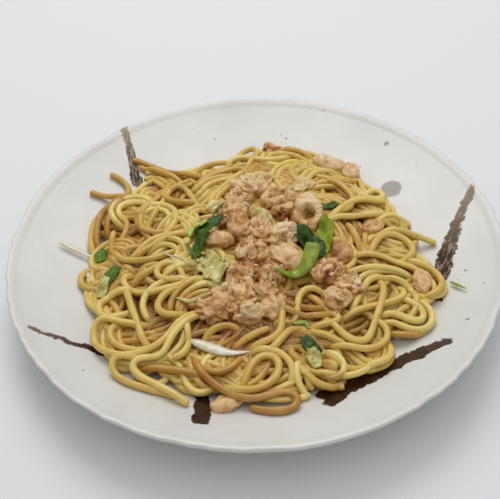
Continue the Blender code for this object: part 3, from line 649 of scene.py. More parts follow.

# %% [markdown]
# The noodles that a person would point at in the photo are laid one by one: each is a few plan
# points in millimetres and a tone from 0, pale, to 1, brown with sauce. The list runs from the
# lowest to the topmost, as later noodles lie on earlier ones. Everything between them is left to a
# rule.

# %% Noodles listed one by one
# tone, whether the start and the end lie free, and the plan of the middle line
LEADS = [
    (0.75, 1, 0, [(-60.5, 69), (-54, 67.5), (-47, 64), (-41, 59), (-34, 56), (-27, 52), (-20, 51)]),
    (0.60, 0, 0, [(-57, 65), (-50, 62.5), (-44, 58), (-38, 53), (-33, 47)]),
    (0.55, 0, 1, [(-71, 58), (-66, 56), (-62, 51.5), (-61, 46), (-63, 40)]),
    (0.60, 1, 0, [(-80, 44.5), (-74, 43.5), (-68, 41), (-61, 38.5), (-54, 36), (-47, 35)]),
    (0.45, 0, 0, [(-70, 33), (-75, 25), (-77, 16), (-76, 8), (-73, 1), (-70, -6)]),
    (0.90, 0, 0, [(-60, 40), (-66, 37), (-71, 31), (-73.5, 23), (-74, 14), (-72.5, 6)]),
    (0.85, 0, 0, [(-57, 41), (-63, 36), (-67.5, 29), (-69.5, 21), (-69, 13)]),
    (0.50, 0, 0, [(-55, 22), (-50, 29), (-46, 34), (-42, 39), (-41, 45), (-39, 52)]),
    (0.40, 0, 0, [(-50, 16), (-46, 24), (-42, 33), (-39, 41), (-35, 43.5), (-31, 37), (-28, 29),
                  (-24, 22)]),
    (0.65, 0, 0, [(-46, 40), (-42, 33), (-36, 28), (-29, 27), (-24, 30)]),
    (0.35, 0, 0, [(-58, -6), (-53, -1), (-48, 4), (-42, 6.5), (-36, 6), (-29, 4)]),
    (0.45, 0, 0, [(-39, 13), (-35, 16), (-30, 16), (-28, 13)]),
    (0.38, 0, 0, [(-46, 8), (-42, 14), (-37, 20), (-31, 21), (-26.5, 17), (-26, 10), (-30, 5.5),
                  (-38, 4), (-47, 0), (-55, -4)]),
    (0.40, 1, 0, [(-65.5, 14), (-66, 8), (-65, 1), (-60, -6), (-50, -9), (-41, -7), (-33, -2)]),
    (0.50, 0, 0, [(-68, 6), (-66, -2), (-62, -7), (-56, -11), (-53, -15)]),
    (0.45, 0, 0, [(-56, -23), (-50, -18), (-44, -15), (-38, -11), (-32, -9)]),
    (0.30, 0, 0, [(-26, -21), (-34, -23), (-40, -23), (-44, -19), (-42, -14), (-37, -13),
                  (-33, -17), (-31, -24)]),
    (0.22, 0, 0, [(-55, -13), (-58, -17), (-58, -22), (-53, -27), (-45, -29), (-36, -27),
                  (-26, -24), (-18, -21)]),
    (0.35, 0, 0, [(-30, -26), (-36, -29), (-41, -33), (-42.5, -38), (-39, -43), (-33, -43),
                  (-28, -40)]),
    (0.22, 0, 0, [(-50, -27), (-57, -26), (-64, -27.5), (-68, -32), (-67, -38), (-61, -41),
                  (-55, -38), (-52, -33)]),
    (0.32, 0, 0, [(-55, -43), (-60, -44), (-62, -48), (-60, -54), (-54, -58), (-46, -58)]),
    (0.30, 0, 0, [(-58, -22), (-55.5, -29), (-53.5, -36), (-51, -43), (-49, -50), (-47, -55),
                  (-43, -58)]),
    (0.28, 0, 0, [(-46, -45), (-52, -46), (-60, -43), (-66, -41), (-69, -45), (-68, -52),
                  (-63, -58), (-55, -61), (-46, -60), (-39, -55), (-34, -48), (-28, -43),
                  (-20, -40)]),
    (0.35, 0, 0, [(-47, -62), (-52, -63), (-58, -62), (-60, -66), (-56, -71), (-49, -74.5),
                  (-41, -77), (-33, -80)]),
    (0.75, 0, 0, [(-50, -66), (-43, -67), (-36, -69), (-28, -71), (-20, -72)]),
    (0.15, 1, 0, [(-29, -84), (-36, -79), (-43, -74.5), (-49, -70.5), (-52, -67), (-49, -64),
                  (-43, -63.5), (-40, -64), (-38, -60), (-35, -53), (-31, -48), (-25, -44),
                  (-18, -41)]),
    (0.18, 0, 1, [(-28, -42), (-30, -46), (-29, -52), (-29, -58), (-31, -63), (-36, -65)]),
    (0.70, 0, 0, [(-25, -66), (-21, -71), (-15, -72), (-10, -69), (-8, -64), (-8, -60)]),
    (0.85, 0, 0, [(-27, -62), (-24, -71), (-18, -77.5), (-10, -83), (-2, -84.5), (6, -82),
                  (12, -82), (14, -86), (9, -89.5), (1, -89), (-6, -86)]),
    (0.45, 0, 0, [(-9, -80), (-6, -75), (-4, -70), (-1, -66.5), (3, -65.5), (7, -68), (7, -73),
                  (4, -77.5), (-3, -81), (-11, -81), (-17, -77)]),
    (0.30, 0, 0, [(-9, -64), (-2, -62.5), (5, -63.5), (11, -68), (12.5, -74), (9.5, -80)]),
    (0.35, 0, 0, [(-13, -62), (-4, -61), (4, -59), (8.5, -55), (9.5, -48), (10, -40), (12, -33)]),
    (0.40, 0, 0, [(-1, -66), (5, -63), (9, -58.5), (13, -53.5), (18, -50.5), (23, -50)]),
    (0.50, 0, 0, [(14, -59.5), (11.5, -62.5), (13, -67), (18, -70), (25, -71)]),
    (0.40, 0, 0, [(12, -68), (16, -73), (20, -77.5), (26, -79), (32, -76.5)]),
    (0.45, 0, 0, [(22, -58), (26, -63), (30, -68), (34, -71.5), (39, -71), (42, -67)]),
    (0.40, 0, 1, [(17, -50), (22, -54), (28, -57), (34, -60.5)]),
    (0.18, 0, 0, [(15, -71), (20, -72), (28, -74), (36, -74.5), (42, -72), (44.5, -67.5),
                  (42.5, -63.5)]),
    (0.20, 0, 0, [(40, -71), (44, -70), (48.5, -69.5), (52, -66), (53, -61), (51, -56)]),
    (0.28, 0, 0, [(46, -44), (48, -49), (51.5, -52), (52.5, -57), (48, -61.5), (41, -63),
                  (33, -61.5), (27, -59)]),
    (0.42, 0, 0, [(20, -34), (26, -40), (32, -46), (34, -49.5), (28, -51), (20, -51.5), (14, -53)]),
    (0.30, 0, 0, [(58, -29), (62, -32), (62, -37), (56, -40), (48, -42), (40, -45), (33, -48)]),
    (0.55, 0, 0, [(60, -46), (66, -43.5), (71, -43), (73, -46.5), (70, -51), (64, -54.5),
                  (57, -55), (53, -53)]),
    (0.32, 0, 0, [(50, -25), (57, -26.5), (63, -29), (66.5, -34), (67, -40), (64, -46), (57, -51)]),
    (0.28, 0, 0, [(62, -12), (69, -14), (75, -18), (79.5, -23), (80, -29), (76, -34), (71.5, -35.5),
                  (70, -31), (70.5, -26)]),
    (0.35, 0, 0, [(52, -25), (54, -31), (52.5, -38), (49.5, -46), (46, -54), (43, -59.5),
                  (38, -60), (33, -55.5), (29, -49), (25, -45)]),
    (0.25, 0, 0, [(58, -26), (50, -26), (45, -32), (41, -40), (37, -47)]),
    (0.12, 0, 0, [(70, -24), (62, -23), (54, -22), (46, -24), (41, -31), (37, -39), (34, -46)]),
    (0.15, 0, 0, [(36, -24), (44, -21.5), (52, -21), (60, -22.5), (68, -24)]),
    (0.45, 0, 0, [(33, -2), (38, -4), (43, -7.5), (47, -11)]),
    (0.50, 0, 0, [(43, 14), (44, 6), (46, -2), (48, -10)]),
    (0.42, 0, 0, [(47, 15), (51, 8), (50, 0), (49, -8)]),
    (0.35, 0, 0, [(50, -12), (53, -6), (57, 0), (63, 2), (69, -2), (71, -8), (68, -13), (61, -15)]),
    (0.25, 0, 0, [(32, -12), (40, -13.5), (49, -12), (56, -13), (62, -16), (69, -18), (75, -22)]),
    (0.20, 0, 1, [(50, -3), (55, 2), (62, 4.5), (70, 4.5), (77, 3), (83, 0.5)]),
    (0.48, 0, 0, [(36, 46), (42, 40), (46, 34), (48, 28), (45, 20), (38, 16), (32, 13)]),
    (0.15, 0, 1, [(32, 12), (38, 15), (43, 21), (49, 26), (56, 28), (64, 28.5)]),
    (0.10, 0, 0, [(30, 10), (37, 12), (44, 14), (52, 16.5), (59, 18), (62, 22)]),
    (0.60, 0, 0, [(-30, 44), (-22, 49), (-14, 54), (-6, 56.5), (-2, 51), (-1.5, 43)]),
    (0.45, 0, 0, [(-30, 40), (-20, 47), (-10, 49), (-3, 46)]),
    (0.40, 0, 0, [(-30, 58), (-24, 62), (-17, 65), (-12, 64), (-10, 59), (-14, 55.5), (-22, 53)]),
    (0.50, 0, 0, [(5, 68), (12, 73), (20, 72), (28, 67), (36, 60)]),
    (0.45, 0, 0, [(4, 60), (12, 66), (21, 66), (30, 60)]),
    (0.40, 0, 0, [(-6, 62), (-6, 70), (-2, 76), (3, 75), (4, 68), (0, 62), (-3, 56)]),
    (0.50, 0, 0, [(-24, -57), (-21, -52), (-15, -49.5), (-9, -50.5), (-6, -54)]),
    (0.40, 0, 1, [(-12, -60), (-8, -58), (-2, -55.5), (5, -52.5)]),
    (0.12, 0, 0, [(5, -50), (8, -48), (13, -49.5), (16, -46), (16.5, -40), (18, -35.5),
                  (22, -32.5), (27, -34), (33, -37)]),
]
print("noodles placed by hand:", len(LEADS))

# %% [markdown]
# The other noodles wander. A boiled noodle bends easily but never kinks, so its plan is walked in
# small steps whose heading turns slowly, now one way and now the other. A noodle that nears the
# edge of the heap is steered back in. Some run side by side in bundles, as they came from the pack.

# %% Noodles that follow a rule
STEP = 1.25
WANDER_SEED = 11
# how many bundles, noodles in each, share of the way out, length, least and most bend radius,
# tone, and the least and most depth under the heap's surface that they are pressed to
TIERS = [
    (110, 1, (0.02, 0.96), 80, (12, 30), (0.35, 0.85), (4.0, 5.2)),
    (20, 2, (0.84, 0.96), 90, (60, 90), (0.35, 0.75), (2.8, 4.2)),
    (42, 3, (0.10, 0.93), 75, (11, 24), (0.30, 0.80), (2.8, 4.0)),
    (50, 1, (0.20, 0.97), 50, (7, 13), (0.20, 0.65), (1.8, 3.0)),
]
LAST_TIER = (26, 2, (0.10, 0.95), 46, (8, 16), (0.12, 0.50), (0.6, 1.6))
BUNDLE_GAP = 3.3
NEARLY_STRAIGHT = 40
CURVE_STEPS = 16
# how a wandering line swings, and from which share of the heap's reach it turns back, how fast
SWINGS = (0.02, 0.06)
SWING_PITCH = 0.09
TURN_BACK_FROM = 0.86
TURN_BACK = 2.2
# how the gap between two noodles of a bundle opens and closes, and how many points one starts late
GAP_WAVE = 0.25
GAP_PITCH = 0.05
LATEST_START = 6


def smooth_line(points, step=STEP):
    """Points every step along a smooth curve through plan points."""
    points = [Vector(p) for p in points]
    chain = [2 * points[0] - points[1]] + points + [2 * points[-1] - points[-2]]
    dense = []
    for a, b, c, d in zip(chain, chain[1:], chain[2:], chain[3:]):
        for i in range(CURVE_STEPS):
            t = i / CURVE_STEPS
            dense.append(0.5 * (
                2 * b + (c - a) * t + (2 * a - 5 * b + 4 * c - d) * t**2
                + (3 * b - 3 * c + d - a) * t**3
            ))
    dense.append(points[-1])
    line = [dense[0]]
    for point in dense:
        while (point - line[-1]).length >= step:
            line.append(line[-1] + (point - line[-1]).normalized() * step)
    return np.array([(p.x, p.y) for p in line])


def wandering_line(draw, share, length, radii, tangent):
    """A plan line that curls about inside the heap."""
    turn = draw.uniform(0, math.tau)
    reach = share * float(heap_reach(turn))
    x = HEAP_MIDDLE[0] + reach * math.cos(turn)
    y = HEAP_MIDDLE[1] + reach * math.sin(turn)
    heading = turn + math.pi / 2 if tangent else draw.uniform(0, math.tau)
    bend = draw.choice((-1, 1)) / draw.uniform(*radii)
    swing = draw.uniform(*SWINGS)
    phase = draw.uniform(0, math.tau)
    line = []
    for i in range(int(length / STEP)):
        line.append((x, y))
        out = float(heap_share(x, y))
        inward = math.atan2(HEAP_MIDDLE[1] - y, HEAP_MIDDLE[0] - x)
        off = (inward - heading + math.pi) % math.tau - math.pi
        if out > 1.0:
            break
        steer = max(out - TURN_BACK_FROM, 0.0) * TURN_BACK * (1 if off > 0 else -1)
        heading += (bend + swing * math.sin(i * STEP * SWING_PITCH + phase) + steer) * STEP
        x += math.cos(heading) * STEP
        y += math.sin(heading) * STEP
    return np.array(line)


def beside(line, offset, draw):
    """The line of a noodle that runs beside another one."""
    ahead = np.gradient(line, axis=0)
    ahead /= np.linalg.norm(ahead, axis=1)[:, None]
    normal = np.stack([-ahead[:, 1], ahead[:, 0]], axis=1)
    wave = np.sin(np.arange(len(line)) * GAP_PITCH + draw.uniform(0, 6))
    drift = offset * (1 + GAP_WAVE * wave)
    shifted = line + normal * drift[:, None]
    return shifted[draw.randint(0, LATEST_START):]


print("tiers:", [tier[0] for tier in TIERS])

# %% [markdown]
# Laying works like draping a soft round string over a relief. At each point the string must clear
# whatever lies within its own radius. A noodle can't kink, so where it climbs over another one it
# rises and falls along a parabola, and then it is smoothed. Hidden ends dive into the heap, and a
# noodle that meets a topping runs into its underside. The field of heights then rises under it.
# Noodles of the rule are pressed down to their depth, as those on top press them in a real heap;
# one that would still stand far above it is left out.

# %% Laying the noodles
NOODLE_RADIUS = 1.55
SOFTNESS = 0.45
BEND_RADIUS = 8.0
BEND_REACH = 7
SMOOTH_STEPS = 14
PLAN_STEPS = 8
DIVE_LENGTH = 10.0
DIVE_DEPTH = 4.5
LEAD_DEPTH = 1.2
LEAD_RISE = 1.6
PRESS_GIVE = 0.4
TOO_HIGH = 4.5
TOO_HIGH_SHARE = 0.2
SHORTEST_LINE = 12
LEAD_EDGE = 0.92
SINK_LIMIT = 0.3
ROOF_SHARE = 0.7
LAST_SMOOTHING = 3
TONE_SPREAD = 0.1

reach_cells = int(NOODLE_RADIUS / CELL)
disc = [
    (i, j, math.sqrt(NOODLE_RADIUS**2 - (i * i + j * j) * CELL**2))
    for i in range(-reach_cells, reach_cells + 1)
    for j in range(-reach_cells, reach_cells + 1)
    if (i * i + j * j) * CELL**2 < NOODLE_RADIUS**2
]
disc_i = np.array([d[0] for d in disc])
disc_j = np.array([d[1] for d in disc])
disc_z = np.array([d[2] for d in disc])


def cells_round(line):
    """The cells within a noodle's radius of each point of a plan line."""
    low, high = reach_cells + 1, len(side) - reach_cells - 2
    i = np.clip(np.round((line[:, 0] + FIELD_HALF) / CELL).astype(int), low, high)
    j = np.clip(np.round((line[:, 1] + FIELD_HALF) / CELL).astype(int), low, high)
    return i[:, None] + disc_i, j[:, None] + disc_j


def draped(carried):
    """The carrying heights, with every peak widened to a noodle's tightest bend."""
    eased = carried.copy()
    for k in range(1, min(BEND_REACH, len(carried) - 1) + 1):
        drop = (k * STEP) ** 2 / (2 * BEND_RADIUS)
        eased[k:] = np.maximum(eased[k:], carried[:-k] - drop)
        eased[:-k] = np.maximum(eased[:-k], carried[k:] - drop)
    return eased


def smoothed(z, steps):
    for _ in range(steps):
        z = z.copy()
        z[1:-1] = 0.5 * z[1:-1] + 0.25 * (z[:-2] + z[2:])
    return z


def noodle_heights(line, free_start, free_end, lead, depth=0.0):
    """The height of a noodle's middle at each point of its plan, and how far it rests too high."""
    i, j = cells_round(line)
    carried = (heights[i, j] + disc_z).max(axis=1) - SOFTNESS
    floor = (plate_floor[i, j] + disc_z).max(axis=1)
    surface = heap_top(line[:, 0], line[:, 1]) - NOODLE_RADIUS
    inside = heap_share(line[:, 0], line[:, 1]) < LEAD_EDGE
    if lead:
        carried = np.where(inside, np.maximum(carried, surface - LEAD_DEPTH), carried)
        carried = np.where(inside, np.minimum(carried, surface + LEAD_RISE), carried)
    z = smoothed(draped(carried), SMOOTH_STEPS)
    z = np.maximum(z, carried - SINK_LIMIT)
    over = z - (surface - depth)
    if not lead:
        z = np.where(over > 0, surface - depth + PRESS_GIVE * over, z)
    along = np.arange(len(line)) * STEP
    if not free_start:
        z -= DIVE_DEPTH * np.clip(1 - along / DIVE_LENGTH, 0, 1) ** 2
    if not free_end:
        z -= DIVE_DEPTH * np.clip(1 - along[::-1] / DIVE_LENGTH, 0, 1) ** 2
    roof = ceiling[i, j].min(axis=1) - NOODLE_RADIUS * ROOF_SHARE
    z = smoothed(np.minimum(z, roof), LAST_SMOOTHING)
    z = np.maximum(z, floor)
    return z, over


def lay(tone, line, z):
    """Keep a noodle and let the field rise under it."""
    i, j = cells_round(line)
    np.maximum.at(heights, (i, j), z[:, None] + disc_z)
    laid.append((tone, np.column_stack([line, z])))


def lay_tier(draw, tier):
    bundles, count, shares, length, radii, tones, depths = tier
    for _ in range(bundles):
        tangent = radii[0] > NEARLY_STRAIGHT
        line = wandering_line(draw, draw.uniform(*shares), length, radii, tangent)
        tone = draw.uniform(*tones)
        for k in range(count):
            if len(line) < SHORTEST_LINE:
                continue
            own = beside(line, BUNDLE_GAP * (k - (count - 1) / 2), draw)
            z, over = noodle_heights(own, 0, 0, False, draw.uniform(*depths))
            if (over > TOO_HIGH).mean() < TOO_HIGH_SHARE:
                lay(tone + draw.uniform(-TONE_SPREAD, TONE_SPREAD), own, z)


def room_left():
    inside = (heap_share(field_x, field_y) < 0.85) & ~under_topping
    return round(float((goal - heights)[inside].mean()), 2)


laid = []
draw = random.Random(WANDER_SEED)
for tier in TIERS:
    lay_tier(draw, tier)
    print("noodles so far:", len(laid), "room left, mm:", room_left())
hidden = len(laid)
for tone, free_start, free_end, points in LEADS:
    line = smooth_line(points)
    line = np.column_stack([smoothed(line[:, 0], PLAN_STEPS), smoothed(line[:, 1], PLAN_STEPS)])
    z, _ = noodle_heights(line, free_start, free_end, True)
    lay(tone, line, z)
print("with those placed by hand:", len(laid), "room left, mm:", room_left())
lay_tier(draw, LAST_TIER)
print("noodles in all:", len(laid), "room left, mm:", room_left())
print("highest point of the noodles, mm:", round(float(heights.max()), 1))

# %% [markdown]
# A Geometry Nodes tree gives every line its body: Mesh to Curve, then Curve to Mesh with a section
# that is a square with well rounded corners, as the noodles are cut by a grooved roller. The tree
# reads the swelling and the twist of each point from attributes, and its named inputs hold the
# sizes, so the same tree also makes stems and sprouts.

# %% The tree that gives lines a body


def new_tree(name, inputs):
    """An empty node tree with named inputs and one geometry output."""
    tree = bpy.data.node_groups.new(name, "GeometryNodeTree")
    for label, kind in inputs:
        tree.interface.new_socket(label, in_out="INPUT", socket_type="NodeSocket" + kind)
    tree.interface.new_socket("Geometry", in_out="OUTPUT", socket_type="NodeSocketGeometry")
    return tree


def wire(tree, joins):
    """Join sockets; each row is a node, its output, the next node and its input."""
    for source, output, target, socket in joins:
        tree.links.new(source.outputs[output], target.inputs[socket])


def strand_tree():
    tree = new_tree("strands along lines", [
        ("Geometry", "Geometry"), ("Thickness", "Float"), ("Corner", "Float"),
        ("Corner Points", "Int"), ("Material", "Material"),
    ])
    add = tree.nodes.new
    start = add("NodeGroupInput")
    lines = add("GeometryNodeMeshToCurve")
    swell = add("GeometryNodeInputNamedAttribute")
    swell.inputs["Name"].default_value = "swell"
    twist = add("GeometryNodeInputNamedAttribute")
    twist.inputs["Name"].default_value = "twist"
    tilt = add("GeometryNodeSetCurveTilt")
    square = add("GeometryNodeCurvePrimitiveQuadrilateral")
    fillet = add("GeometryNodeFilletCurve")
    fillet.mode = "POLY"
    rounding = add("ShaderNodeMath")
    rounding.operation = "MULTIPLY"
    body = add("GeometryNodeCurveToMesh")
    body.inputs["Fill Caps"].default_value = True
    smooth = add("GeometryNodeSetShadeSmooth")
    real = add("GeometryNodeRealizeInstances")
    paint = add("GeometryNodeSetMaterial")
    end = add("NodeGroupOutput")
    wire(tree, [
        (start, "Geometry", lines, "Mesh"), (lines, "Curve", tilt, "Curve"),
        (twist, "Attribute", tilt, "Tilt"), (start, "Thickness", square, "Width"),
        (start, "Thickness", square, "Height"), (start, "Thickness", rounding, 0),
        (start, "Corner", rounding, 1), (square, "Curve", fillet, "Curve"),
        (rounding, 0, fillet, "Radius"), (start, "Corner Points", fillet, "Count"),
        (tilt, "Curve", body, "Curve"), (fillet, "Curve", body, "Profile Curve"),
        (swell, "Attribute", body, "Scale"), (body, "Mesh", smooth, "Geometry"),
        (smooth, "Geometry", real, "Geometry"), (real, "Geometry", paint, "Geometry"),
        (start, "Material", paint, "Material"), (paint, "Geometry", end, "Geometry"),
    ])
    return tree


STRANDS = strand_tree()


def run_tree(holder, tree, values):
    """Give an object a node tree with its named inputs set, and return the plain mesh."""
    nodes = holder.modifiers.new("nodes", "NODES")
    nodes.node_group = tree
    for item in tree.interface.items_tree:
        if item.item_type == "SOCKET" and item.in_out == "INPUT" and item.name in values:
            nodes[item.identifier] = values[item.name]
    return finished_mesh(holder)


def strands_mesh(name, strands, thickness, corner, corner_points, material):
    """One mesh for many lines: each is (points in mm, tone, painted shade and sauce, swell, twist).
    """
    corners = []
    edges = []
    values = {"tone": [], "shade_and_sauce": [], "swell": [], "twist": []}
    for points, tone, shade_and_sauce, swell, twist in strands:
        first = len(corners)
        corners += [tuple(p * MM) for p in points]
        edges += [(first + i, first + i + 1) for i in range(len(points) - 1)]
        for key, value in zip(values, (tone, shade_and_sauce, swell, twist)):
            values[key] += list(np.broadcast_to(value, len(points)))
    mesh = bpy.data.meshes.new(name)
    mesh.from_pydata(corners, edges, [])
    for key, value in values.items():
        add_values(mesh, key, value)
    return run_tree(linked(name, mesh), STRANDS, {
        "Thickness": thickness * MM, "Corner": corner, "Corner Points": corner_points,
        "Material": material,
    })


print("strand tree ready")

# %% [markdown]
# A fried noodle is pale yellow, and brown where it took up sauce. The tone of each noodle and a
# slow noise along it choose between straw, ochre and brown. Its depth in the heap paints it darker,
# as painted shade under the noodles above it. A few places are painted browner still: sauce
# gathered in some, painted shade of dark hollows in others; the noodles at the edge get less painted
# shade and are paler. Small dark flecks are pepper and burnt bits. Some light goes into the dough
# and comes out again, which softens the shadows, and a thin coat of oil gives the highlights.

# %% The look of fried noodles
ENVELOPE_STEPS = 8
ENVELOPE_FALL = 0.12
# depth below the filled surface at which the painted shade is full
DEEPEST = 3.8
NOODLE_WIDTH = 2 * NOODLE_RADIUS * 0.9
NOODLE_CORNER = 0.34
CUT_END = 0.72
# height and pitch of the waves in a noodle's thickness, its least and most, and its twist
SWELL_WAVES = [(0.045, 0.21), (0.03, 0.53)]
THICKNESS_RANGE = (0.93, 1.06)
MOST_TWIST = 0.03
# x, y and radius of places painted browner, sauce gathered in some and painted shade of dark hollows
# in others, and how much browner they are
SAUCE_AND_SHADE_POOLS = [
    (24.5, -73, 7, 0.7), (-5.5, -56, 10, 0.6), (-17, -76, 6, 0.6), (-37, -38, 7, 0.5),
    (-31, -30, 6, 0.5), (22, -40, 9, 0.6), (-62, 18, 8, 0.5), (-10, -47.5, 7, 0.7),
    (7, -51, 8, 0.6), (14, -37, 7, 0.6), (31, -77, 5, 0.4),
]
# noodles of the rule get paler towards the edge; those listed one by one keep most of their own tone
EDGE_START = 0.72
EDGE_REACH = 0.2
EDGE_PALER = 0.35
EDGE_SHALLOWER = 0.7
POOL_DEPTH = 0.7
POOL_SPREAD = 1.4
PLACED_SHARE = 0.2


def noodle_finish():
    look = Finish("fried noodle", 0.44)
    tone = look.attribute("tone")
    shade_and_sauce = look.attribute("shade_and_sauce")
    patches = look.noise(85, 3.0, 0.6)
    streaks = look.noise(300, 3.0, 0.6)
    level = look.vary(look.vary(look.math("MULTIPLY", tone, 0.9), patches, 0.75), streaks, 0.25)
    colour = look.ramp(level, [
        (0.0, shade(236, 212, 124)), (0.3, shade(220, 186, 94)), (0.6, shade(202, 158, 68)),
        (0.95, shade(168, 110, 38)),
    ])
    # painted shade under and between noodles, with the pools, darkens the colour towards brown
    sunk = look.between(shade_and_sauce, 0.1, 1.0)
    colour = look.stain(colour, sunk, 0.7, (130, 78, 20))
    flecks = look.between(look.noise(760, 2.0), 0.71, 0.75)
    colour = look.stain(colour, flecks, 0.5, (110, 72, 34))
    relief = look.bump(look.noise(620, 3.0), 0.00018, 0.5)
    return look.food(colour, relief, 0.2, (0.003, 0.0016, 0.0006), 0.6, 0.22, 0.28)


def soft_envelope(field):
    """The level of the heap's surface with the gaps between noodles filled."""
    raised = field.copy()
    for _ in range(ENVELOPE_STEPS):
        for axis in (0, 1):
            for way in (-1, 1):
                raised = np.maximum(raised, np.roll(raised, way, axis) - ENVELOPE_FALL)
    return raised


def sauce_and_shade_round(points):
    """How much browner the pools of sauce and painted shade make each point of a noodle, and how
    near the edge it is.
    """
    browner = np.zeros(len(points))
    for x, y, radius, share in SAUCE_AND_SHADE_POOLS:
        away = np.hypot(points[:, 0] - x, points[:, 1] - y)
        browner += share * np.clip(POOL_SPREAD - away / radius, 0, 1)
    out = heap_share(points[:, 0], points[:, 1])
    return browner, np.clip((out - EDGE_START) / EDGE_REACH, 0, 1)


def noodle_strand(number, tone, points):
    """One laid noodle with its tone, painted shade from depth and sauce, swelling and twist."""
    wave = random.Random(number)
    i, j = cells_round(points[:, :2])
    level = envelope[i[:, len(disc) // 2], j[:, len(disc) // 2]]
    # painted shade: the deeper below the heap's filled surface, the darker
    shade_and_sauce = np.clip((level - points[:, 2] - NOODLE_RADIUS) / DEEPEST, 0, 1)
    browner, edge = sauce_and_shade_round(points)
    shade_and_sauce = shade_and_sauce * (1 - EDGE_SHALLOWER * edge)
    if hidden <= number < hidden + len(LEADS):
        tone = tone + PLACED_SHARE * browner
        shade_and_sauce = shade_and_sauce + PLACED_SHARE * browner
    else:
        tone = tone + browner - EDGE_PALER * edge
        shade_and_sauce = shade_and_sauce + POOL_DEPTH * browner
    along = np.arange(len(points)) * STEP
    swell = np.ones(len(points))
    for height, pitch in SWELL_WAVES:
        swell += height * np.sin(along * pitch + wave.uniform(0, 6))
    swell *= wave.uniform(*THICKNESS_RANGE)
    swell[[0, -1]] *= CUT_END
    twist = wave.uniform(0, 3) + along * wave.uniform(-MOST_TWIST, MOST_TWIST)
    return points, np.clip(tone, 0, 1), np.clip(shade_and_sauce, 0, 1), swell, twist


envelope = soft_envelope(heights)
NOODLE_LOOK = noodle_finish()
strands = [noodle_strand(number, *noodle) for number, noodle in enumerate(laid)]
third = hidden // 3
for name, group, corner_points in (
    ("noodles_low", strands[:third], 1), ("noodles_inner", strands[third:2 * third], 1),
    ("noodles_middle", strands[2 * third:hidden], 1), ("noodles_top", strands[hidden:], 2),
):
    mesh = strands_mesh(name, group, NOODLE_WIDTH, NOODLE_CORNER, corner_points, NOODLE_LOOK)
    place_piece(name, mesh, NOODLE_LOOK, ["noodle_heap"])

# %% [markdown]
# The pork is thin belly torn small and fried until it curls and crumbles. Each packed lump becomes
# a fine mesh by a voxel Remesh, which keeps its place and outline, and its points are then pushed
# along their normals. Three rules stand for the three ways in which the meat breaks: cell noise
# and ridges along the grain make crumbs stuck together, stretched folded noise makes a rolled
# slice, and soft noise makes smooth fat. How open a point lies between crumbs, and how far below
# its lump's top, is kept as an attribute for colour: painted shade in the crevices and lower down,
# painted light on the open ridges and tops. The lumps of the main pile are swollen and joined
# first, because in the pan they stuck into one mass.

# %% Torn pork and cabbage scraps
PORK = [name for name in TOPPINGS if name.startswith("pork")]
SCRAPS = ["cabbage_middle", "cabbage_left_back", "cabbage_back", "cabbage_back_long"]
SMOOTH_PORK = {
    "pork_curl", "pork_fat_oval", "pork_left_smooth", "pork_far_right", "pork_folded",
    "pork_right_slice", "pork_edge_slice", "pork_fallen", "pork_back_right", "pork_back_corner",
}
FOLDED_PORK = {
    "pork_back_roll", "pork_left_back", "pork_tongue", "pork_right_upper", "pork_small_front",
    "pork_far_back", "pork_right_lower", "pork_pale_smooth",
}
# tone of each piece from 0, brown, to 1, pale; the others take a tone from their number
PORK_TONES = {
    "pork_fat_oval": 0.55, "pork_pale_crumbs": 1.0, "pork_pale_smooth": 0.85, "pork_curl": 0.8,
    "pork_right_slice": 0.05, "pork_edge_slice": 0.2, "pork_back_right": 0.85, "pork_far_back": 0.4,
    "pork_back_corner": 0.6, "pork_brown_front": 0.45, "pork_tongue": 0.8, "pork_left_smooth": 0.5,
    "pork_middle": 0.45, "pork_right_upper": 0.2, "pork_right_small": 0.1,
    "pork_right_lower": 0.4, "pork_far_right": 0.6, "pork_left_front": 0.3,
}
# how far lumps swell before they are made fine; a lump of fat on the left is slimmer
PORK_SWELL = 0.4
PILE_SWELL = 1.4
OWN_SWELL = {"pork_left_smooth_torn": -0.4}
SCRAP_SWELL = 0.2
PORK_VOXEL = 0.42
SCRAP_VOXEL = 0.45
SCRAP_SEED = 40
SCRAP_PUSH = 0.9
WELD_DISTANCE = 0.000005
SOFTEN_STEPS = 5
# painted shade below a lump's top: how strong, where it starts and how far down it grows
LOW_SHADE_SHARE = 0.5
LOW_SHADE_START = 1.5
LOW_SHADE_DEPTH = 5
PILES = {
    "pork_pile": [
        "pork_back_roll", "pork_back_crumb", "pork_hollow", "pork_left_back", "pork_folded",
        "pork_middle", "pork_pale_crumbs", "pork_fat_oval", "pork_crumbly",
        "pork_small_front", "pork_left_front", "pork_pale_smooth", "pork_crumb_front",
        "pork_brown_front", "pork_tongue", "pork_shreds",
    ],
    "pork_right_pile": ["pork_right_upper", "pork_right_small", "pork_right_lower"],
}


def crumb_bumps(spot, size, shift):
    """1 in the middle of each cell of noise and under 0 between cells."""
    away = noise.voronoi(spot / size + shift)[0][0]
    return 1 - (away / 0.6) ** 2


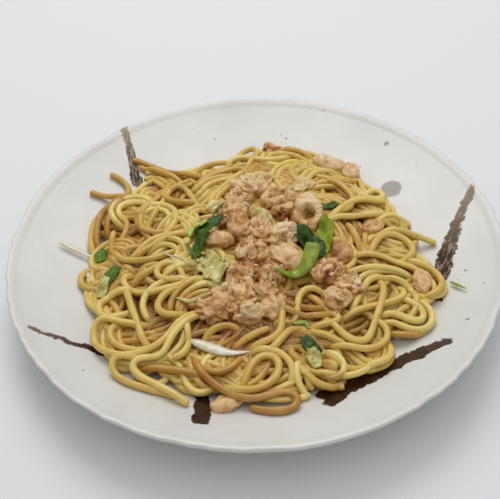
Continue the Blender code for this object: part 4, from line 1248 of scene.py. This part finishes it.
def torn_push(spot, kind, seed):
    """How far a point moves out, in millimetres, and how open it lies, from 0 to 1, for painted
    light and shade.
    """
    shift = Vector((seed * 1.7, seed * 3.1, seed * 0.9))
    broad = noise.noise(spot / 6 + shift)
    warp = Vector((noise.noise(spot / 4 + shift), noise.noise(spot / 4 - shift), 0))
    bent = spot + warp * 2.0
    if kind == "smooth":
        soft = 1 - 2 * abs(noise.noise(bent / 4.5 + shift))
        fine = noise.noise(bent / 1.3 + shift)
        return 1.2 * broad + 0.5 * soft - 0.2 + 0.12 * fine, 0.4 + 0.35 * soft + 0.2 * fine
    turn = seed * 0.7
    x = bent.x * math.cos(turn) + bent.y * math.sin(turn)
    y = bent.y * math.cos(turn) - bent.x * math.sin(turn)
    if kind == "folded":
        fold = 1 - 2 * abs(noise.noise(Vector((x / 7, y / 2.8, bent.z / 4)) + shift)) ** 0.8
        fine = noise.noise(bent / 1.2 + shift)
        return 2.0 * broad + 1.2 * fold - 0.4 + 0.2 * fine, 0.2 + 0.55 * fold + 0.2 * fine
    grain = Vector((x / 2.1, y * 1.25, bent.z))
    large = crumb_bumps(grain, 3.6, shift)
    ridge = 1 - 2.4 * abs(noise.noise(grain / 3.0 - shift))
    small = 1 - 3 * abs(noise.noise(grain / 1.5 + shift))
    push = 2.2 * broad + 0.8 * large + 0.9 * ridge + 0.2 * small - 0.5
    return push, 0.25 + 0.25 * large + 0.35 * ridge + 0.12 * small


def fine_copy(nodes, voxel, swell):
    """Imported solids, swollen and joined, as one even fine mesh."""
    joined = bmesh.new()
    for node in nodes:
        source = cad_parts[node].data.copy()
        shape = bmesh.new()
        shape.from_mesh(source)
        bmesh.ops.remove_doubles(shape, verts=shape.verts, dist=WELD_DISTANCE)
        shape.normal_update()
        for vertex, normal in [(v, v.normal.copy()) for v in shape.verts]:
            vertex.co += normal * swell * MM
        shape.to_mesh(source)
        shape.free()
        joined.from_mesh(source)
    holder = linked("joined", mesh_from("joined", joined))
    remesh = holder.modifiers.new("even faces", "REMESH")
    remesh.mode = "VOXEL"
    remesh.voxel_size = voxel * MM
    soften = holder.modifiers.new("soften", "SMOOTH")
    soften.iterations = SOFTEN_STEPS
    return finished_mesh(holder)


def torn_mesh(nodes, voxel, kinds, seeds, tones, swell, amount=1.0):
    """A fine craggy copy of packed lumps; each point follows the rule of its nearest lump."""
    mesh = fine_copy(nodes, voxel, swell)
    middles = []
    tops = []
    for node in nodes:
        corners = np.array([vertex.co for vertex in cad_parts[node].data.vertices]) / MM
        middles.append((corners.min(axis=0) + corners.max(axis=0)) / 2)
        tops.append(corners[:, 2].max())
    middles = np.array(middles)
    normals = [vertex.normal.copy() for vertex in mesh.vertices]
    open_values = []
    tone_values = []
    for vertex, normal in zip(mesh.vertices, normals):
        spot = vertex.co / MM
        nearest = int(((middles - np.array(spot)) ** 2).sum(axis=1).argmin())
        # openness paints light on open ridges and shade in crevices
        push, openness = torn_push(spot, kinds[nearest], seeds[nearest])
        # painted shade: darker lower down on each lump
        sunk = min(max(tops[nearest] - LOW_SHADE_START - spot.z, 0.0) / LOW_SHADE_DEPTH, 1.0)
        open_values.append(openness - LOW_SHADE_SHARE * sunk)
        tone_values.append(tones[nearest])
        vertex.co += normal * amount * push * MM
    add_values(mesh, "lit_share", open_values)
    add_values(mesh, "tone", tone_values)
    return mesh


def pork_finish():
    look = Finish("fried pork", 0.46)
    lit_share = look.attribute("lit_share")
    tone = look.attribute("tone")
    patches = look.noise(170, 4.0, 0.6)
    stains = look.noise(75, 2.0)
    grain = look.mapped(look.place, Rotation=(0, 0, 0.6), Scale=(0.35, 1.5, 1))
    fibres = look.noise(460, 3.0, 0.6, grain)
    # painted light and shade: open ridges and tops paler, crevices and lower parts darker
    level = look.math("MULTIPLY_ADD", lit_share, 0.55, look.math("MULTIPLY", patches, 0.4))
    for pattern, amount in ((tone, 0.4), (stains, 0.6), (fibres, 0.4)):
        level = look.vary(level, pattern, amount)
    colour = look.ramp(level, [
        (0.06, shade(128, 76, 32)), (0.28, shade(184, 128, 62)), (0.5, shade(221, 179, 120)),
        (0.78, shade(240, 214, 170)),
    ])
    pink = look.between(look.noise(70, 2.0), 0.52, 0.68)
    colour = look.stain(colour, pink, 0.14, (208, 156, 124))
    relief = look.bump(look.noise(800, 4.0, 0.65), 0.0003, 0.5)
    relief = look.bump(fibres, 0.0006, 0.6, relief)
    return look.food(colour, relief, 0.12, (0.002, 0.0012, 0.0008), 0.6, 0.1, 0.25)


def cabbage_finish(name, dark, middle, pale):
    look = Finish(name, 0.42)
    veins = look.noise(210, 3.0, 0.6)
    colour = look.ramp(veins, [(0.3, shade(*dark)), (0.5, shade(*middle)), (0.75, shade(*pale))])
    relief = look.bump(look.noise(500, 3.0), 0.0003, 0.6)
    return look.food(colour, relief, 0.2, (0.003, 0.003, 0.0012), 0.7, 0.2, 0.2)


def look_of(node, number):
    """The rule, the seed and the tone of one packed lump of pork."""
    kind = "smooth" if node in SMOOTH_PORK else "folded" if node in FOLDED_PORK else "crumbly"
    return kind, number, PORK_TONES.get(node, 0.2 + 0.6 * (number * 0.618 % 1))


PORK_LOOK = pork_finish()
CABBAGE_LOOK = cabbage_finish("cooked cabbage", (164, 152, 70), (202, 190, 112), (230, 222, 168))
SCRAP_LOOK = cabbage_finish("pale scrap", (196, 164, 96), (220, 194, 130), (234, 214, 164))
rules = {node: look_of(node, number) for number, node in enumerate(PORK)}
groups = dict(PILES)
for node in PORK:
    if not any(node in nodes for nodes in PILES.values()):
        groups[node + "_torn"] = [node]
for name, nodes in groups.items():
    kinds, seeds, tones = zip(*[rules[node] for node in nodes])
    swell = PILE_SWELL if name in PILES else OWN_SWELL.get(name, PORK_SWELL)
    mesh = torn_mesh(nodes, PORK_VOXEL, kinds, seeds, tones, swell)
    place_piece(name, mesh, PORK_LOOK, nodes)
for number, node in enumerate(SCRAPS):
    kind = "crumbly" if node == "cabbage_middle" else "folded"
    mesh = torn_mesh([node], SCRAP_VOXEL, [kind], [number + SCRAP_SEED], [0.5], SCRAP_SWELL,
                     SCRAP_PUSH)
    look = CABBAGE_LOOK if node == "cabbage_middle" else SCRAP_LOOK
    place_piece(node + "_scrap", mesh, look, [node])

# %% [markdown]
# The greens are wilted leaves of a spring green: dark blades that shine and blister, with pale
# juicy stems. A blade is a fine grid laid along a short plan line, at the height of its packed
# leaf, with ripples towards its edge, and Solidify gives it the thickness of two sheets of paper.

# %% Leaves
# node, plan line, width, ripple, colour at the start and the end from 0, dark, to 1, bright, slot
LEAVES = [
    ("leaf_dark_left", [(-15, 9), (-20, 3), (-24.5, -5), (-27, -12)], 6.5, 1.0, 0.1, 0.55, "leaf"),
    ("leaf_dark_right", [(22.5, -1), (25, -9), (25.5, -17)], 12.0, 1.1, 0.2, 0.05, "leaf"),
    ("leaf_bright_blade", [(27.5, -14), (30, -8), (32, 1), (34.5, 11)], 7.5, 0.4, 1.05, 1.0,
     "leaf"),
    ("leaf_back_strip", [(26, 26), (30, 22.5), (35, 22), (40, 25)], 4.0, 0.3, 0.4, 0.3, "leaf"),
    ("leaf_left_edge", [(-70, -3), (-71, 1), (-69, 5)], 5.5, 0.5, 0.7, 0.6, "leaf"),
    ("leaf_olive_left", [(-62, -9), (-65, -14), (-67, -20)], 6.0, 0.6, 0.5, 0.6, "leaf"),
    ("leaf_front", [(18, -56), (20, -60), (24, -64)], 5.5, 0.8, 0.15, 0.15, "leaf"),
    ("stem_left", [(-30, 4), (-25.5, 4.5), (-20.5, 6)], 9.0, 0.4, 1.8, 1.3, "stem"),
    ("cabbage_front", [(20, -63), (21.5, -67), (22, -70.5)], 5.5, 0.3, 0.5, 0.5, "cabbage"),
    ("cabbage_left", [(-66, -16), (-68, -21), (-68, -26)], 5.5, 0.4, 0.5, 0.5, "cabbage"),
    ("cabbage_middle_left", [(-25, -16), (-19, -19), (-14, -27)], 10.0, 0.6, 0.5, 0.5, "cabbage"),
]
LEAF_ROWS = 34
LEAF_COLUMNS = 12
LEAF_THICKNESS = 0.6
LEAF_LIFT = 0.6
LEAF_NOTCH = 0.14
LEAF_BLISTER = 0.35
LEAF_KEEL = 0.5
HEIGHT_BLUR = 1.5


def node_height(node, x, y):
    """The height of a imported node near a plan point, from its closest corners."""
    corners = node_points[node]
    away = (corners[:, 0] - x) ** 2 + (corners[:, 1] - y) ** 2 + HEIGHT_BLUR
    weight = 1 / away**2
    return float((weight * corners[:, 2]).sum() / weight.sum())


node_points = {
    name: np.array([vertex.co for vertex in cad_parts[name].data.vertices]) / MM
    for name in TOPPINGS
}


def thicken(holder, thickness):
    """Give a sheet a wall, half to each side."""
    shell = holder.modifiers.new("thickness", "SOLIDIFY")
    shell.thickness = thickness * MM
    shell.offset = 0.0


def blade_mesh(node, line, width, ripple, start_tone, end_tone):
    middle = smooth_line(line, 0.25)
    shape = bmesh.new()
    tones = shape.verts.layers.float.new("tone")
    across_layer = shape.verts.layers.float.new("across")
    rows = []
    seed = len(node) * 1.3
    for row in range(LEAF_ROWS):
        share = row / (LEAF_ROWS - 1)
        index = min(round(share * (len(middle) - 1)), len(middle) - 2)
        here = Vector(middle[index])
        ahead = Vector(middle[index + 1]) - here
        normal = Vector((-ahead.y, ahead.x)).normalized()
        half_width = width / 2 * (0.3 + 0.7 * math.sin(math.pi * (0.06 + 0.88 * share)) ** 0.6)
        strip = []
        for column in range(LEAF_COLUMNS + 1):
            across = 2 * column / LEAF_COLUMNS - 1
            notch = 1 + LEAF_NOTCH * noise.noise(Vector((share * 9, across * 2, seed)))
            spot = here + normal * half_width * across * notch
            fold = ripple * abs(across) * math.sin(share * 13 + across * 2 + seed) * 0.5
            blister = LEAF_BLISTER * noise.noise(Vector((spot.x * 0.7, spot.y * 0.7, seed)))
            keel = -LEAF_KEEL * (1 - abs(across))
            height = node_height(node, spot.x, spot.y) + LEAF_LIFT + fold + blister + keel
            vertex = shape.verts.new(Vector((spot.x, spot.y, height)) * MM)
            vertex[tones] = start_tone + (end_tone - start_tone) * share
            vertex[across_layer] = across
            strip.append(vertex)
        rows.append(strip)
    for low, high in zip(rows, rows[1:]):
        for i in range(LEAF_COLUMNS):
            shape.faces.new((low[i], low[i + 1], high[i + 1], high[i]))
    bmesh.ops.recalc_face_normals(shape, faces=shape.faces[:])
    holder = linked(node + " blade", mesh_from(node + " blade", shape))
    thicken(holder, LEAF_THICKNESS)
    return finished_mesh(holder)


def leaf_finish():
    look = Finish("wilted green", 0.4)
    tone = look.attribute("tone")
    across = look.math("ABSOLUTE", look.attribute("across"))
    rib = look.math("SUBTRACT", 1.0, look.between(across, 0.03, 0.16))
    veins = look.noise(340, 4.0, 0.65)
    level = look.vary(tone, veins, 0.5)
    colour = look.ramp(look.math("MULTIPLY", level, 0.7), [
        (0.0, shade(34, 62, 16)), (0.25, shade(60, 92, 18)), (0.5, shade(96, 122, 12)),
        (0.75, shade(140, 154, 18)), (0.95, shade(178, 202, 96)),
    ])
    colour = look.stain(colour, rib, 0.3, (140, 166, 70))
    relief = look.bump(veins, 0.0005, 0.8)
    return look.food(colour, relief, 0.08, (0.001, 0.002, 0.0005), 0.5, 0.12, 0.15,
                     Specular_IOR_Level=0.3)


LEAF_LOOK = leaf_finish()
for node, line, width, ripple, start_tone, end_tone, slot in LEAVES:
    look = CABBAGE_LOOK if slot == "cabbage" else LEAF_LOOK
    mesh = blade_mesh(node, line, width, ripple, start_tone, end_tone)
    place_piece(node + "_blade", mesh, look, [node])

# %% [markdown]
# Stems, shreds and the bean sprout are round and tapered, so the noodle tree serves again with a
# rounder section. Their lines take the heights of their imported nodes, and only the swelling along
# the line changes: a sprout is fat for two thirds and ends in a thread, a stem is blunt.

# %% Stems, shreds and the sprout
# node, plan line, thickness, taper at the start and the end, look, slot
STEMS = [
    ("stem_right", [(25, -15), (23, -21), (19, -25.5), (13.5, -27.5), (8, -28)], 7.2, 0.9, 0.2,
     "stem"),
    ("stem_front", [(14, -50), (19, -49.5), (20.5, -53)], 2.6, 0.4, 0.5, "stem"),
    ("sprout_front", [(-28, -55.5), (-20, -59.5), (-12, -62.5), (-4, -62.5)], 5.2, 0.35, 0.12,
     "cabbage"),
    ("shred_left", [(-91, 9.5), (-83, 6), (-76, 3)], 2.4, 0.2, 0.8, "cabbage"),
    ("root_left", [(-77, -5), (-76, -9), (-74, -14)], 2.0, 0.5, 0.5, "cabbage"),
    ("shred_green_right", [(84, -26), (87, -30), (89.5, -33)], 1.6, 0.4, 0.4, "stem"),
]
STEM_FLATNESS = 0.5
STEM_CORNER = 0.46
STEM_WIDTH_SHARE = 0.95
STEM_STEP = 0.6
STEM_SMOOTHING = 60
STEM_TONE = 0.5
STEM_CORNER_POINTS = 4


def stem_finish():
    look = Finish("green stem", 0.32)
    fibres = look.noise(260, 3.0, 0.6)
    colour = look.ramp(fibres, [
        (0.3, shade(112, 128, 16)), (0.55, shade(140, 156, 26)), (0.8, shade(166, 180, 58)),
    ])
    relief = look.bump(look.noise(500, 2.0), 0.0002, 0.5)
    return look.food(colour, relief, 0.2, (0.002, 0.003, 0.0008), 0.7, 0.2, 0.1)


def sprout_finish():
    look = Finish("bean sprout", 0.28)
    clouds = look.noise(200, 2.0)
    colour = look.ramp(clouds, [(0.3, shade(206, 197, 162)), (0.7, shade(230, 224, 204))])
    relief = look.bump(look.noise(300, 2.0), 0.0002, 0.4)
    return look.food(colour, relief, 0.3, (0.004, 0.004, 0.003), 0.7, 0.5, 0.1)


STEM_LOOK = stem_finish()
SPROUT_LOOK = sprout_finish()
for node, line, thickness, start_taper, end_taper, slot in STEMS:
    plan = smooth_line(line, STEM_STEP)
    level = smoothed(np.array([node_height(node, x, y) for x, y in plan]), STEM_SMOOTHING)
    points = np.column_stack([plan, level])
    share = np.linspace(0, 1, len(points))
    swell = np.interp(share, [0, 0.1, 0.3, 0.5, 0.75, 1], [
        start_taper, 0.6 + start_taper * 0.4, 1.0, 0.95, 0.45 + end_taper / 2, end_taper])
    look = STEM_LOOK if slot == "stem" else SPROUT_LOOK
    strand = [(points, STEM_TONE, 0.0, swell, 0.0)]
    mesh = strands_mesh(node + " body", strand, thickness * STEM_WIDTH_SHARE, STEM_CORNER,
                        STEM_CORNER_POINTS, look)
    for vertex in mesh.vertices:
        away = np.hypot(plan[:, 0] - vertex.co.x / MM, plan[:, 1] - vertex.co.y / MM)
        line_height = points[away.argmin(), 2] * MM
        vertex.co.z = line_height + (vertex.co.z - line_height) * STEM_FLATNESS
    place_piece(node + "_body", mesh, look, [node])

# %% [markdown]
# A few threads of green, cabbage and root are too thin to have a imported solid. They take their
# heights from the field of what is laid already, so they rest on the noodles and on the toppings.

# %% Loose threads
# name, plan line, thickness, look, slot
THREADS = [
    ("thread_dark", [(-19, 13), (-15, 17), (-10, 22)], 1.7, LEAF_LOOK, "leaf"),
    ("thread_teal", [(-31, -3), (-28, -8), (-26, -14)], 1.5, LEAF_LOOK, "leaf"),
    ("thread_pale", [(-34, -35), (-27, -37.5), (-19, -37)], 2.2, CABBAGE_LOOK, "cabbage"),
    ("thread_root", [(-42, -6), (-37, -11), (-35, -17)], 0.8, SPROUT_LOOK, "cabbage"),
    ("thread_fork", [(-39, -9), (-33, -12), (-28, -17)], 0.7, SPROUT_LOOK, "cabbage"),
]
THREAD_TAPERS = [0.3, 0.8, 1.0, 0.8, 0.3]
THREAD_SMOOTHING = 20
THREAD_TONE = 0.3
THREAD_CORNER_POINTS = 3

resting = np.maximum(heights, np.where(under_topping, spans[:, :, 1], 0.0))
for name, line, thickness, look, slot in THREADS:
    plan = smooth_line(line, STEM_STEP)
    i, j = cells_round(plan)
    level = smoothed(draped(resting[i, j].max(axis=1)), THREAD_SMOOTHING) + thickness / 3
    swell = np.interp(np.linspace(0, 1, len(plan)), np.linspace(0, 1, 5), THREAD_TAPERS)
    strand = [(np.column_stack([plan, level]), THREAD_TONE, 0.0, swell, 0.0)]
    mesh = strands_mesh(name, strand, thickness * STEM_WIDTH_SHARE, STEM_CORNER,
                        THREAD_CORNER_POINTS, look)
    place_piece(name, mesh, look)

# %% [markdown]
# Pepper, burnt flecks and crumbs of pork lie everywhere. A second Geometry Nodes tree scatters
# points over a surface, keeps those that face up, and puts a small pattern on each, with a fixed
# seed and a random turn and size. Realize Instances makes them plain mesh.

# %% The tree that scatters grains
FACING_UP = 0.45
FULL_TURN = 6.28


def scatter_tree():
    tree = new_tree("grains on a surface", [
        ("Geometry", "Geometry"), ("Density", "Float"), ("Smallest", "Float"),
        ("Largest", "Float"), ("Seed", "Int"), ("Tilt", "Float"), ("Grain", "Object"),
        ("Material", "Material"),
    ])
    add = tree.nodes.new
    start = add("NodeGroupInput")
    normal = add("GeometryNodeInputNormal")
    split = add("ShaderNodeSeparateXYZ")
    upward = add("FunctionNodeCompare")
    upward.operation = "GREATER_THAN"
    upward.inputs["B"].default_value = FACING_UP
    points = add("GeometryNodeDistributePointsOnFaces")
    grain = add("GeometryNodeObjectInfo")
    size = add("FunctionNodeRandomValue")
    turn = add("FunctionNodeRandomValue")
    turn.data_type = "FLOAT_VECTOR"
    most = add("ShaderNodeCombineXYZ")
    most.inputs["Z"].default_value = FULL_TURN
    copies = add("GeometryNodeInstanceOnPoints")
    real = add("GeometryNodeRealizeInstances")
    paint = add("GeometryNodeSetMaterial")
    end = add("NodeGroupOutput")
    wire(tree, [
        (start, "Geometry", points, "Mesh"), (normal, "Normal", split, "Vector"),
        (split, "Z", upward, "A"), (upward, "Result", points, "Selection"),
        (start, "Density", points, "Density"), (start, "Seed", points, "Seed"),
        (start, "Grain", grain, "Object"), (start, "Smallest", size, 2),
        (start, "Largest", size, 3), (start, "Seed", size, "Seed"),
        (start, "Seed", turn, "Seed"), (start, "Tilt", most, "X"), (start, "Tilt", most, "Y"),
        (most, "Vector", turn, "Max"), (points, "Points", copies, "Points"),
        (grain, "Geometry", copies, "Instance"), (turn, "Value", copies, "Rotation"),
        (size, 1, copies, "Scale"), (copies, "Instances", real, "Geometry"),
        (real, "Geometry", paint, "Geometry"), (start, "Material", paint, "Material"),
        (paint, "Geometry", end, "Geometry"),
    ])
    return tree


GRAINS = scatter_tree()


def scatter(name, bed, pattern, density, sizes, seed, material, tilt=FULL_TURN):
    """Copies of a pattern over a mesh, as one new piece."""
    result = run_tree(linked(name, bed.copy()), GRAINS, {
        "Density": density, "Smallest": sizes[0], "Largest": sizes[1], "Seed": seed,
        "Tilt": tilt, "Grain": pattern, "Material": material,
    })
    place_piece(name, result, material)


print("grain tree ready")

# %% [markdown]
# Pepper and burnt flecks are rough grains a third to three quarters of a millimetre long. At that
# size a ball of few faces, dented by noise, is enough. It is copied over the noodles that show.

# %% Pepper and burnt flecks
GRAIN_DENT = 0.45
DENT_PITCH = 2.2
GRAIN_FLATNESS = 0.6
GRAIN_STRETCH = 1.3
PEPPER_DENSITY = 5200.0
PEPPER_SIZES = (0.3, 0.75)


def grain_object(name, stretch, seed):
    """A small rough grain, one millimetre across, that only serves as a pattern."""
    shape = bmesh.new()
    bmesh.ops.create_icosphere(shape, subdivisions=1, radius=0.5 * MM)
    for vertex in shape.verts:
        spot = vertex.co / MM * DENT_PITCH + Vector((seed, 0, 0))
        vertex.co *= 1 + GRAIN_DENT * noise.noise(spot)
        vertex.co.x *= stretch
        vertex.co.z *= GRAIN_FLATNESS
    return linked(name, mesh_from(name, shape))


def pepper_finish():
    look = Finish("pepper and burnt flecks", 0.6)
    clouds = look.noise(500, 2.0)
    return look.finish(look.ramp(clouds, [(0.35, shade(38, 26, 16)), (0.65, shade(88, 56, 28))]))


both_layers = bmesh.new()
for name in ("noodles_top", "noodles_middle"):
    both_layers.from_mesh(bpy.data.objects[name].data)
pepper = grain_object("pepper pattern", GRAIN_STRETCH, 3)
scatter("pepper_flecks", mesh_from("noodle layers", both_layers), pepper, PEPPER_DENSITY,
        PEPPER_SIZES, 4, pepper_finish())
bpy.data.objects.remove(pepper)

# %% [markdown]
# Torn meat sheds crumbs and thin flakes, which lie on the piles, and bits of cabbage lie beside
# the greens. They need a bed to lie on: a coarse sheet as high as what lies there, which is not a
# piece itself. Three such beds come first.

# %% Beds for crumbs
BED_STEP = 2
BED_SINK = 0.4
BED_SPREAD = 8


def smoothed_field(field, steps):
    for _ in range(steps):
        for axis in (0, 1):
            field = 0.5 * field + 0.25 * (np.roll(field, 1, axis) + np.roll(field, -1, axis))
    return field


def fill_cells(shape, made, step):
    """Faces between the points of a grid, where all four corners are there."""
    for i, j in made:
        ring = [(i, j), (i + step, j), (i + step, j + step), (i, j + step)]
        if all(key in made for key in ring):
            shape.faces.new([made[key] for key in ring])


def crumb_bed(name, nodes, middle, half_size, turn, reach, lift):
    """A sheet over some toppings, as high as what lies there, for crumbs to lie on."""
    own_top = span_field(nodes)[:, :, 1]
    top = np.maximum(heights - BED_SINK, own_top + lift)
    others = under_topping & (own_top < 0)
    near = smoothed_field(np.where(own_top > 0, 1.0, 0.0), BED_SPREAD)
    near = np.where(others, 0.0, near)
    shape = bmesh.new()
    made = {}
    for i in range(0, len(side), BED_STEP):
        for j in range(0, len(side), BED_STEP):
            dx = side[i] - middle[0]
            dy = side[j] - middle[1]
            along = (dx * math.cos(turn) + dy * math.sin(turn)) / half_size[0]
            across = (dy * math.cos(turn) - dx * math.sin(turn)) / half_size[1]
            if along**2 + across**2 < 1 and near[i, j] >= reach:
                made[i, j] = shape.verts.new(Vector((side[i], side[j], top[i, j])) * MM)
    fill_cells(shape, made, BED_STEP)
    return mesh_from(name, shape)


rough_pork = [node for node in PILES["pork_pile"] if node not in SMOOTH_PORK]
# name, toppings, middle, half size, turn, how near those toppings a cell must be, lift
main_bed = crumb_bed("main pile", rough_pork, (1, -8), (21, 46), 0.08, 0.4, 0.9)
side_bed = crumb_bed("right pile", PILES["pork_right_pile"], (34, -30), (10, 15), 0.2, 0.4, 0.9)
left_bed = crumb_bed("left greens", ["cabbage_middle_left"], (-19, -17), (8, 14), 0.2, 0.0, 0.2)
print("bed cells:", [len(bed.polygons) for bed in (main_bed, side_bed, left_bed)])

# %% [markdown]
# Six patterns, three crumbs and three bent flakes, are scattered over the beds. A crumb is a ball
# pushed out by cell noise. A flake is a grid whose outline is cut ragged by noise, bent, and given
# a wall by Solidify. Each pattern carries its own tone, so a pile shows pale bits and brown ones.

# %% Crumbs and flakes
# pattern, size along each axis before scaling, seed, tone
CRUMBS = [("crumb_round", (1.2, 1.0, 0.9), 3, 0.95), ("crumb_flat", (1.5, 1.1, 0.5), 7, 0.5),
          ("crumb_long", (2.0, 0.8, 0.7), 11, 0.1)]
# pattern, length, width, how far it curls up, seed, tone
FLAKES = [("flake_broad", 5.6, 4.6, 1.0, 2, 0.9), ("flake_long", 7.2, 3.6, 1.6, 9, 0.6),
          ("flake_curled", 5.2, 4.2, 2.4, 14, 0.3)]
# name, bed, copies to a square metre, least and most scale, and first seed
BEDS_OF_CRUMBS = [
    ("pork_crumbs", main_bed, 30000.0, (1.0, 2.2), 0),
    ("right_crumbs", side_bed, 20000.0, (1.0, 2.0), 5),
]
# the same, and look, slot and tilt
BEDS_OF_FLAKES = [
    ("pork_flakes", main_bed, 15000.0, (0.8, 1.5), 20, PORK_LOOK, "pork", 0.9),
    ("right_flakes", side_bed, 12000.0, (0.8, 1.4), 25, PORK_LOOK, "pork", 0.9),
    ("pale_flakes", left_bed, 10000.0, (1.1, 1.7), 30, CABBAGE_LOOK, "cabbage", 0.35),
]
CRUMB_PUSH = 0.32
CRUMB_CELL = 0.55
FLAKE_CELLS = 12
FLAKE_REACH = 0.95
FLAKE_THICKNESS = 1.2
FLAKE_TEAR = 0.34
FLAKE_BUCKLE = 0.7
PATTERN_LIT_SHARE = 0.6


def meat_pattern(name, mesh, tone):
    """A pattern with its own tone and an even share of painted light, for the pork's finish to read.
    """
    add_values(mesh, "tone", [tone] * len(mesh.vertices))
    add_values(mesh, "lit_share", [PATTERN_LIT_SHARE] * len(mesh.vertices))
    return linked(name, mesh)


def crumb_object(name, sizes, seed, tone):
    """One crumb of meat, a millimetre or so across."""
    shape = bmesh.new()
    bmesh.ops.create_icosphere(shape, subdivisions=3, radius=1.0)
    shift = Vector((seed,) * 3)
    for vertex in shape.verts:
        vertex.co = Vector(a * b / 2 for a, b in zip(vertex.co, sizes))
        bump = crumb_bumps(vertex.co, CRUMB_CELL, shift)
        vertex.co += vertex.co.normalized() * CRUMB_PUSH * bump
        vertex.co *= MM
    return meat_pattern(name, mesh_from(name, shape), tone)


def flake_object(name, length, width, curl, seed, tone):
    """A torn flake of meat or leaf: a small bent sheet with a ragged outline."""
    shape = bmesh.new()
    made = {}
    for i in range(FLAKE_CELLS + 1):
        for j in range(FLAKE_CELLS + 1):
            u = 2 * i / FLAKE_CELLS - 1
            v = 2 * j / FLAKE_CELLS - 1
            ragged = FLAKE_TEAR * noise.noise(Vector((u * 1.4, v * 1.4, seed)))
            if math.hypot(u, v) + ragged < FLAKE_REACH:
                buckle = noise.noise(Vector((u * 1.5, v * 1.5, seed + 5)))
                lift = curl * u * u + FLAKE_BUCKLE * buckle
                spot = Vector((u * length / 2, v * width / 2, lift)) * MM
                made[i, j] = shape.verts.new(spot)
    fill_cells(shape, made, 1)
    loose = [vertex for vertex in shape.verts if not vertex.link_faces]
    bmesh.ops.delete(shape, geom=loose, context="VERTS")
    holder = linked(name, mesh_from(name, shape))
    thicken(holder, FLAKE_THICKNESS)
    soften = holder.modifiers.new("soften", "SMOOTH")
    soften.iterations = SOFTEN_STEPS
    return meat_pattern(name, finished_mesh(holder), tone)


crumbs = [crumb_object(*crumb) for crumb in CRUMBS]
flakes = [flake_object(*flake) for flake in FLAKES]
for number, pattern in enumerate(crumbs):
    for name, bed, density, sizes, seed in BEDS_OF_CRUMBS:
        scatter(f"{name}_{number}", bed, pattern, density, sizes, number + seed, PORK_LOOK)
for number, pattern in enumerate(flakes):
    for name, bed, density, sizes, seed, look, slot, tilt in BEDS_OF_FLAKES:
        scatter(f"{name}_{number}", bed, pattern, density, sizes, number + seed, look, tilt)
for pattern in crumbs + flakes:
    bpy.data.objects.remove(pattern)
